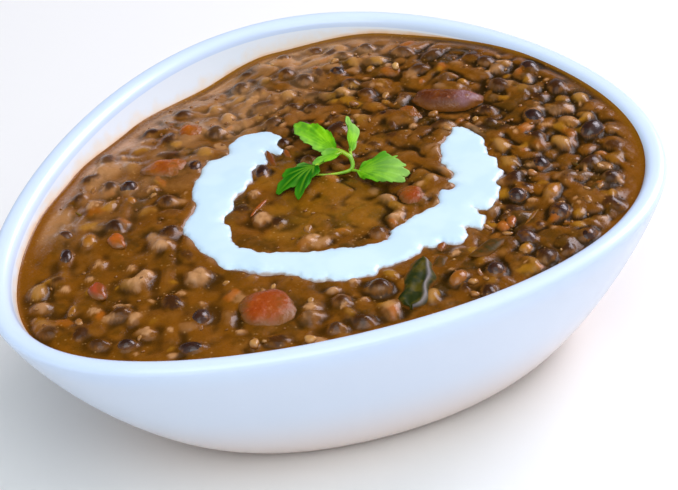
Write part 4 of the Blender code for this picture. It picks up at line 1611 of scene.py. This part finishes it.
# --- Leaves ---------------------------------------------------------------------------------------


@dataclass(frozen=True)
class Lobe:
    """One lobe of a leaf: an ellipse that starts at the leaf's base."""

    angle: float
    length: float
    width: float
    # share of painted highlight on the lobe
    pale: float = 0.0

    def reach(self, angle: np.ndarray) -> np.ndarray:
        """Distance from the base to the lobe's outline, in directions in radians."""
        turned = angle - math.radians(self.angle)
        slim = (self.length / self.width) ** 2
        near = np.cos(turned) > 0.02
        return np.where(near, self.length * np.cos(turned) / (np.cos(turned) ** 2 + slim * np.sin(turned) ** 2), 0)


@dataclass(frozen=True)
class Leaf:
    """A coriander leaf: lobes in a fan, lightly folded, with a toothed edge.

    The base and tip hold x, y and the height above the dal. Lobes are in the leaf's own plane, with
    angles from the line between base and tip, positive on its right.
    """

    base: tuple[float, float, float]
    tip: tuple[float, float, float]
    lobes: tuple[Lobe, ...]
    roll: float = 0.0
    fold: float = 0.12
    curl: float = 1.2
    ruffle: float = 0.35
    depth: float = 0.0
    tooth: float = 0.28
    cleft: float = 16.0
    thickness: float = 0.24

    def frame(self, level: DalLevel) -> tuple[Vector, Vector, Vector, Vector]:
        """The leaf's base and its three unit directions: along, right and up."""
        start = Vector((*self.base[:2], level.height(*map(np.array, self.base[:2])) + self.base[2]))
        end = Vector((*self.tip[:2], level.height(*map(np.array, self.tip[:2])) + self.tip[2]))
        way = (end - start).normalized()
        side = way.cross(Vector((0, 0, 1))).normalized()
        side = side * math.cos(math.radians(self.roll)) + way.cross(side) * math.sin(math.radians(self.roll))
        return start, way, side, side.cross(way)

    def sheet(self, level: DalLevel, columns: int = 110, rows: int = 16) -> tuple[np.ndarray, list, dict]:
        """Points, faces and values of the closed leaf.

        Args:
            level: the dal's level.
            columns: points round the edge.
            rows: rings between the base and the edge.

        Returns:
            The points, the faces and the values by attribute name.
        """
        angle = np.radians(np.linspace(-88, 88, columns))
        reaches = np.array([lobe.reach(angle) for lobe in self.lobes])
        outline = np.maximum((reaches**self.cleft).sum(axis=0) ** (1 / self.cleft), 0.35)
        edge_x, edge_y = outline * np.cos(angle), outline * np.sin(angle)
        length = np.concatenate(([0], np.cumsum(np.hypot(np.diff(edge_x), np.diff(edge_y)))))
        outline += self.tooth * (np.abs(np.sin(length * math.pi / 2.1)) - 0.5) * smooth(outline, 1.5, 5.0)
        share = np.linspace(0, 1, rows + 1)[1:] ** 0.85
        along = np.outer(share, outline * np.cos(angle))
        across = np.outer(share, outline * np.sin(angle))
        size = max(lobe.length for lobe in self.lobes)
        lift = self.curl * np.sin(math.pi * np.clip(along / size, 0, 1)) + self.fold * np.abs(across)
        lift += self.ruffle * np.outer(share**3, np.sin(length * 1.05 + 0.7))
        vein = np.zeros_like(lift)
        for lobe in self.lobes:
            turn = math.radians(lobe.angle)
            beside = across * math.cos(turn) - along * math.sin(turn)
            ahead = along * math.cos(turn) + across * math.sin(turn)
            vein = np.maximum(vein, np.exp(-((beside / 0.32) ** 2)) * smooth(lobe.length - ahead, 0.5, 4.0))
        lift -= 0.13 * vein
        # painted highlight: each lobe's pale share is how much painted highlight it carries
        weights = reaches**self.cleft / np.maximum((reaches**self.cleft).sum(axis=0), 1e-9)
        pale = (weights * np.array([lobe.pale for lobe in self.lobes])[:, None]).sum(axis=0)
        values = {
            "vein": vein,
            "pale": np.outer(share**1.6, pale),
            "edge": np.outer(share**6, np.ones(columns)),
            "depth": np.full_like(lift, self.depth),
        }
        start, way, side, up = self.frame(level)
        flat = np.outer(along.ravel(), way) + np.outer(across.ravel(), side)
        upper = np.array(start) + flat + np.outer(lift.ravel() + self.thickness / 2, up)
        lower = np.array(start) + flat + np.outer(lift.ravel() - self.thickness / 2, up)
        count = rows * columns
        tops = np.array(start) + np.outer((self.thickness / 2, -self.thickness / 2), up)
        points = np.concatenate([upper, lower, tops])
        number = np.arange(count).reshape(rows, columns)
        quads = np.stack([number[:-1, :-1], number[1:, :-1], number[1:, 1:], number[:-1, 1:]], axis=-1).reshape(-1, 4)
        faces = quads.tolist() + (quads[:, ::-1] + count).tolist()
        rim = number[-1].tolist()
        faces += [(a, a + count, b + count, b) for a, b in zip(rim, rim[1:])]
        first = [(2 * count, a, b) for a, b in zip(number[0], number[0, 1:])]
        faces += first + [(2 * count + 1, b + count, a + count) for _, a, b in first]
        for border in (number[:, 0], number[::-1, -1]):
            side_points = border.tolist()
            faces += [(a, b, b + count, a + count) for a, b in zip(side_points, side_points[1:])]
        left, right = int(number[0, 0]), int(number[0, -1])
        faces += [(2 * count, 2 * count + 1, left + count, left), (2 * count, right, right + count, 2 * count + 1)]
        values = {key: np.concatenate([v.ravel(), v.ravel(), v.ravel()[:1], v.ravel()[:1]]) for key, v in values.items()}
        return points, faces, values


@dataclass(frozen=True)
class Sprig:
    """The coriander sprig: five leaves on forked stems."""

    level: DalLevel

    LEAVES = (
        Leaf(
            (15.6, 4.0, 5.2),
            (18.4, 23.4, 6.0),
            (
                Lobe(0, 19.4, 4.2, 0.15),
                Lobe(-8, 16.0, 4.0, 0.3),
                Lobe(-17, 11.4, 3.6, 0.55),
                Lobe(-32, 6.8, 3.0, 0.5),
                Lobe(8, 14.6, 3.8),
                Lobe(16, 9.6, 3.2),
            ),
            roll=-12,
            fold=0.10,
            tooth=0.75,
        ),
        Leaf(
            (7.8, 4.6, 3.6),
            (-6.5, 1.6, 1.2),
            (
                Lobe(13, 14.4, 4.6),
                Lobe(1, 10.2, 4.2, 0.1),
                Lobe(-16, 14.8, 4.2),
                Lobe(30, 9.6, 4.6),
                Lobe(56, 5.4, 3.4, 0.3),
                Lobe(-34, 7.6, 3.6),
            ),
            roll=8,
            fold=0.06,
            depth=1.0,
            tooth=0.5,
        ),
        Leaf(
            (15.4, -5.2, 2.2),
            (20.5, -19.5, 2.6),
            (
                Lobe(-46, 9.4, 3.4, 0.1),
                Lobe(-33, 11.2, 3.4, 0.5),
                Lobe(-20, 13.2, 3.4, 0.9),
                Lobe(-8, 14.8, 3.4, 1.0),
                Lobe(4, 14.8, 3.4, 0.8),
                Lobe(15, 12.6, 3.4, 0.4),
                Lobe(28, 8.8, 3.6),
            ),
            roll=10,
            depth=0.35,
            ruffle=0.5,
            tooth=0.7,
        ),
        Leaf(
            (18.2, 0.6, 4.9),
            (24.5, 8.0, 10.4),
            (Lobe(0, 11.4, 3.6, 0.7), Lobe(-14, 7.2, 3.0, 0.2), Lobe(12, 9.4, 2.6, 1.0)),
            roll=52,
            fold=0.5,
            curl=0.6,
            tooth=0.15,
        ),
        Leaf(
            (16.6, 2.4, 4.9),
            (7.4, 4.9, 3.9),
            (Lobe(0, 9.4, 2.0, 0.4), Lobe(16, 5.8, 1.8, 0.6), Lobe(-14, 6.8, 1.8, 0.1)),
            roll=-20,
            fold=0.35,
            curl=0.5,
            tooth=0.3,
        ),
    )
    # rows of x, y, height above the dal and thickness
    STEMS = (
        (
            (7.0, 4.5, 0.9, 0.6),
            (10.5, 0.5, 0.9, 0.7),
            (15.2, -2.3, 1.4, 1.1),
            (17.2, -0.8, 3.4, 1.25),
            (16.6, 2.0, 5.0, 1.25),
            (15.8, 5.4, 5.2, 1.0),
        ),
        ((16.6, 2.0, 5.0, 1.1), (12.5, 3.4, 4.2, 0.9), (7.8, 4.0, 3.6, 0.8)),
        ((15.2, -2.3, 1.4, 0.9), (15.4, -6.0, 2.2, 0.6)),
        ((17.2, -0.8, 3.4, 1.0), (18.8, 1.2, 5.4, 0.8)),
    )

    def leaf_finish(self) -> bpy.types.Material:
        """Fresh green with darker veins' surroundings, and a painted highlight that makes its folded and raised parts
        paler.
        """
        graph = Graph("coriander_leaf", ior=1.4, roughness=0.5, specular_ior_level=0.10)
        fresh = graph.mix(srgb(132, 200, 14), srgb(82, 156, 4), graph.noise(4.5, 3.0).step(0.4, 0.6))
        green = graph.mix(fresh, srgb(12, 90, 0), graph.attribute("depth"))
        green = graph.mix(green, srgb(146, 200, 40), graph.attribute("vein") * 0.35)
        green = graph.mix(green, srgb(84, 160, 20), graph.attribute("edge") * 0.6)
        # painted highlight on the folded and raised parts
        green = graph.mix(green, srgb(192, 226, 130), graph.attribute("pale") * 0.5)
        graph.feed(base_color=green)
        graph.bump(graph.noise(1.0, 2.0), 0.06)
        return graph.material

    def stem(self, rows: Sequence[Sequence[float]], sides: int = 12) -> tuple[np.ndarray, list]:
        """Points and faces of one closed stem."""
        route = smooth_route(rows, 12 * len(rows))
        heights = self.level.height(route[:, 0], route[:, 1]) + route[:, 2]
        middle = np.stack([route[:, 0], route[:, 1], heights], axis=1)
        way = np.gradient(middle, axis=0)
        way /= np.linalg.norm(way, axis=1, keepdims=True)
        side = np.cross(way, (0, 0, 1))
        side /= np.linalg.norm(side, axis=1, keepdims=True)
        up = np.cross(side, way)
        turns = np.linspace(0, 2 * math.pi, sides, endpoint=False)
        round_way = side[:, None, :] * np.cos(turns)[:, None] + up[:, None, :] * np.sin(turns)[:, None]
        points = (middle[:, None, :] + round_way * route[:, 3][:, None, None] / 2).reshape(-1, 3)
        faces = ring_faces(len(middle), sides)
        last = len(points) - sides
        faces += [tuple(range(sides)), tuple(range(last, last + sides))]
        return points, faces

    def build(self) -> list[bpy.types.Object]:
        """Make the leaves' and the stems' pieces."""
        points, faces, values = [], [], {"vein": [], "pale": [], "edge": [], "depth": []}
        start = 0
        for leaf in self.LEAVES:
            leaf_points, leaf_faces, leaf_values = leaf.sheet(self.level)
            points.append(leaf_points)
            faces += [tuple(int(number) + start for number in face) for face in leaf_faces]
            for key, value in leaf_values.items():
                values[key].append(value)
            start += len(leaf_points)
        joined = {key: np.concatenate(value) for key, value in values.items()}
        leaves = add_piece("coriander_leaves", np.concatenate(points), faces, self.leaf_finish(), joined)
        outward(leaves)
        points, faces, start = [], [], 0
        for rows in self.STEMS:
            stem_points, stem_faces = self.stem(rows)
            points.append(stem_points)
            faces += [tuple(number + start for number in face) for face in stem_faces]
            start += len(stem_points)
        graph = Graph("coriander_stem", ior=1.4, roughness=0.3, coat_weight=0.2, coat_roughness=0.2)
        green = graph.mix(srgb(164, 200, 44), srgb(124, 180, 34), graph.noise(3.0).step(0.4, 0.6))
        graph.feed(base_color=green)
        stems = add_piece("coriander_stems", np.concatenate(points), faces, graph.material)
        outward(stems)
        for piece in (leaves, stems):
            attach(piece, BODY)
        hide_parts("coriander_sprig")
        return [leaves, stems]


@dataclass(frozen=True)
class WiltedLeaf:
    """A dark limp leaf, folded lengthwise and half sunk, with a painted grey highlight along its crest."""

    level: DalLevel
    x: float = -12.2
    y: float = -53.0
    length: float = 21.0
    width: float = 8.6
    turn: float = 35.0

    def spot(self) -> Spot:
        """The leaf as a spot, for what lies round it."""
        return Spot(self.x, self.y, (self.length, self.width, 2.0), self.turn)

    def build(self, columns: int = 72, rows: int = 28) -> bpy.types.Object:
        """Make the wilted leaf's piece."""
        along, across = np.meshgrid(np.linspace(-1, 1, columns), np.linspace(-1, 1, rows), indexing="ij")
        half = np.sqrt(np.clip(1 - np.abs(along) ** 5, 0.02, 1)) * (1 + 0.12 * np.sin(7 * along))
        lit_crest = np.exp(-(((across + 0.62 - 0.12 * along) / 0.17) ** 2))
        folds = 0.5 * np.sin(5 * across + 2.5 * along) + 0.35 * grain(along * 6, across * 3, 1.0, 61)
        lift = 1.7 + 0.8 * lit_crest * (1 - along**4) + 0.5 * folds - 0.3 * across - 1.8 * np.abs(across) ** 4
        plan_x, plan_y = along * self.length / 2, across * half * self.width / 2
        angle = math.radians(self.turn)
        x = self.x + plan_x * math.cos(angle) - plan_y * math.sin(angle)
        y = self.y + plan_x * math.sin(angle) + plan_y * math.cos(angle)
        height = self.level.height(x, y)
        points, faces = slab(x, y, height + lift, height + np.minimum(lift - 0.4, -1.0), np.ones(x.shape, bool))
        graph = Graph("wilted_leaf", ior=1.45, roughness=0.6, specular_ior_level=0.16)
        green = graph.mix(srgb(34, 42, 0), srgb(78, 68, 6), graph.noise(4.0, 3.0).step(0.42, 0.62))
        # painted highlight: grey along the crest
        green = graph.mix(green, srgb(156, 146, 150), graph.attribute("lit_crest") * 0.6)
        film = 1 - (graph.attribute("above") + (graph.noise(2.5, 3.0) - 0.5) * 2.2).step(0.4, 1.3)
        graph.feed(base_color=graph.mix(green, srgb(112, 66, 12), film))
        graph.bump(graph.noise(1.8, 3.0), 0.15)
        values = {"lit_crest": np.tile(lit_crest.ravel() ** 2, 2), "above": np.tile(lift.ravel(), 2)}
        piece = add_piece("wilted_leaf_look", points, faces, graph.material, values)
        outward(piece)
        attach(piece, BODY)
        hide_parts("wilted_leaf")
        return piece


# --- Studio ---------------------------------------------------------------------------------------


@dataclass(frozen=True)
class Studio:
    """A pale floor, window light from behind on the right, and the camera."""

    camera_place: Vector = Vector((-0.33462, -0.36924, 0.37153))
    camera_aim: Vector = Vector((-0.01666, -0.02946, 0.06))
    camera_roll: float = -4.0
    lens: float = 113.5
    floor_size: float = 3.0

    def floor(self) -> None:
        """Lay the floor."""
        half = self.floor_size / 2 / MM
        corners = np.array([(-half, -half, 0), (half, -half, 0), (half, half, 0), (-half, half, 0)])
        graph = Graph("floor", base_color=srgb(239, 236, 231), roughness=0.7)
        add_piece("floor", corners, [(0, 1, 2, 3)], graph.material)

    @staticmethod
    def direction(azimuth: float, elevation: float) -> Vector:
        """The unit vector that points to an azimuth and elevation in degrees."""
        turn, rise = math.radians(azimuth), math.radians(elevation)
        return Vector((math.cos(turn) * math.cos(rise), math.sin(turn) * math.cos(rise), math.sin(rise)))

    def lamp(self, name: str, azimuth: float, elevation: float, size: tuple, glow: float, color: Color) -> None:
        """Hang an area light that faces the bowl.

        Args:
            name: the light's name.
            azimuth: its direction in plan, in degrees from +X.
            elevation: its height in degrees.
            size: its width and height, in metres.
            glow: its brightness per area.
            color: its colour.
        """
        light = bpy.data.lights.new(name, "AREA")
        light.shape = "RECTANGLE"
        light.size, light.size_y = size
        light.energy = glow * math.pi * size[0] * size[1]
        light.color = color
        item = bpy.data.objects.new(name, light)
        way = self.direction(azimuth, elevation)
        item.location = way * 1.1 + Vector((0, 0, 0.055))
        item.rotation_euler = way.to_track_quat("Z", "Y").to_euler()
        bpy.context.scene.collection.objects.link(item)

    def sky(self, strength: float, color: Color, dim: float, azimuth: float, elevation: float) -> None:
        """Set a soft light from all round, with a dim patch that keeps the wet gravy free of haze.

        Args:
            strength: the sky's brightness.
            color: its colour.
            dim: the patch's brightness.
            azimuth: the patch's direction in plan, in degrees from +X.
            elevation: its height in degrees.
        """
        world = bpy.data.worlds.new("sky")
        world.use_nodes = True
        tree = world.node_tree
        background = tree.nodes["Background"]
        background.inputs["Color"].default_value = (*color, 1.0)
        place, facing = tree.nodes.new("ShaderNodeTexCoord"), tree.nodes.new("ShaderNodeVectorMath")
        facing.operation = "DOT_PRODUCT"
        facing.inputs[1].default_value = self.direction(azimuth, elevation)
        fade = tree.nodes.new("ShaderNodeMapRange")
        fade.interpolation_type = "SMOOTHSTEP"
        for key, value in (("From Min", 0.50), ("From Max", 0.86), ("To Min", strength), ("To Max", dim)):
            fade.inputs[key].default_value = value
        tree.links.new(place.outputs["Generated"], facing.inputs[0])
        tree.links.new(facing.outputs["Value"], fade.inputs["Value"])
        tree.links.new(fade.outputs["Result"], background.inputs["Strength"])
        bpy.context.scene.world = world

    def camera(self) -> None:
        """Set up the camera."""
        data = bpy.data.cameras.new("camera")
        data.lens = self.lens
        data.sensor_width = 36.0
        data.clip_start = 0.01
        item = bpy.data.objects.new("camera", data)
        aim = (self.camera_aim - self.camera_place).to_track_quat("-Z", "Y").to_matrix().to_4x4()
        roll = Matrix.Rotation(math.radians(self.camera_roll), 4, "Z")
        item.matrix_world = Matrix.Translation(self.camera_place) @ aim @ roll
        bpy.context.scene.collection.objects.link(item)
        bpy.context.scene.camera = item

    def build(self) -> None:
        """Set up floor, lights and camera."""
        bpy.context.scene.view_settings.view_transform = "Standard"
        self.floor()
        self.sky(0.64, (0.79, 0.88, 1.0), 0.06, 47.0, 36.0)
        self.lamp("overhead", 232.0, 86.0, (0.6, 0.6), 1.5, (0.90, 0.95, 1.0))
        self.lamp("window", 0.0, 34.0, (0.70, 0.46), 9.5, (0.94, 0.89, 1.0))
        self.lamp("front_panel", 232.0, 52.0, (1.0, 0.6), 3.4, (0.90, 0.96, 1.0))
        self.camera()


# --- Everything together --------------------------------------------------------------------------


def write_sizes(pieces: Iterable[bpy.types.Object]) -> None:
    corners = [item.matrix_world @ Vector(corner) for item in pieces for corner in item.bound_box]
    low = [min(corner[axis] for corner in corners) for axis in range(3)]
    high = [max(corner[axis] for corner in corners) for axis in range(3)]
    LOG.info("visual box %s to %s mm", [round(v / MM, 1) for v in low], [round(v / MM, 1) for v in high])


def main() -> None:
    """Build every sub-assembly in order."""
    logging.basicConfig(level=logging.INFO, format="%(name)s: %(message)s")
    shape = BowlShape()
    level = DalLevel(shape)
    relief = Relief(level)
    cream = Cream(level)
    large = chunks()
    limp = WiltedLeaf(level)

    def keep_off(x: np.ndarray, y: np.ndarray) -> np.ndarray:
        """Distance from the cream, the large pieces and the wilted leaf, in millimetres."""
        free = -cream.distance(x, y)
        for spot in [chunk.spot() for chunk in large] + [limp.spot()]:
            free = np.minimum(free, (spot.away(x, y) - 1) * min(spot.size[:2]) / 2)
        return free

    pantry = Pantry(level, keep_off)
    pantry.fill()
    cream.dip(relief)
    for chunk in large:
        relief.swell(chunk.spot(), -0.5, 1.4)
    pantry.press_into(relief)
    relief.relax()
    surface = relief.sampler()
    pieces = [Bowl(shape, level).build(), Dal(relief).build(), cream.build()]
    pieces += [chunk.build(level) for chunk in large]
    pieces += pantry.build(surface)
    pieces += [pantry.crumbs(surface), limp.build()]
    pieces += Sprig(level).build()
    for piece in pieces:
        LOG.info("%s: %d faces", piece.name, len(piece.data.polygons))
    Studio().build()
    bpy.context.view_layer.update()
    write_sizes(pieces)


if __name__ == "__main__":
    main()
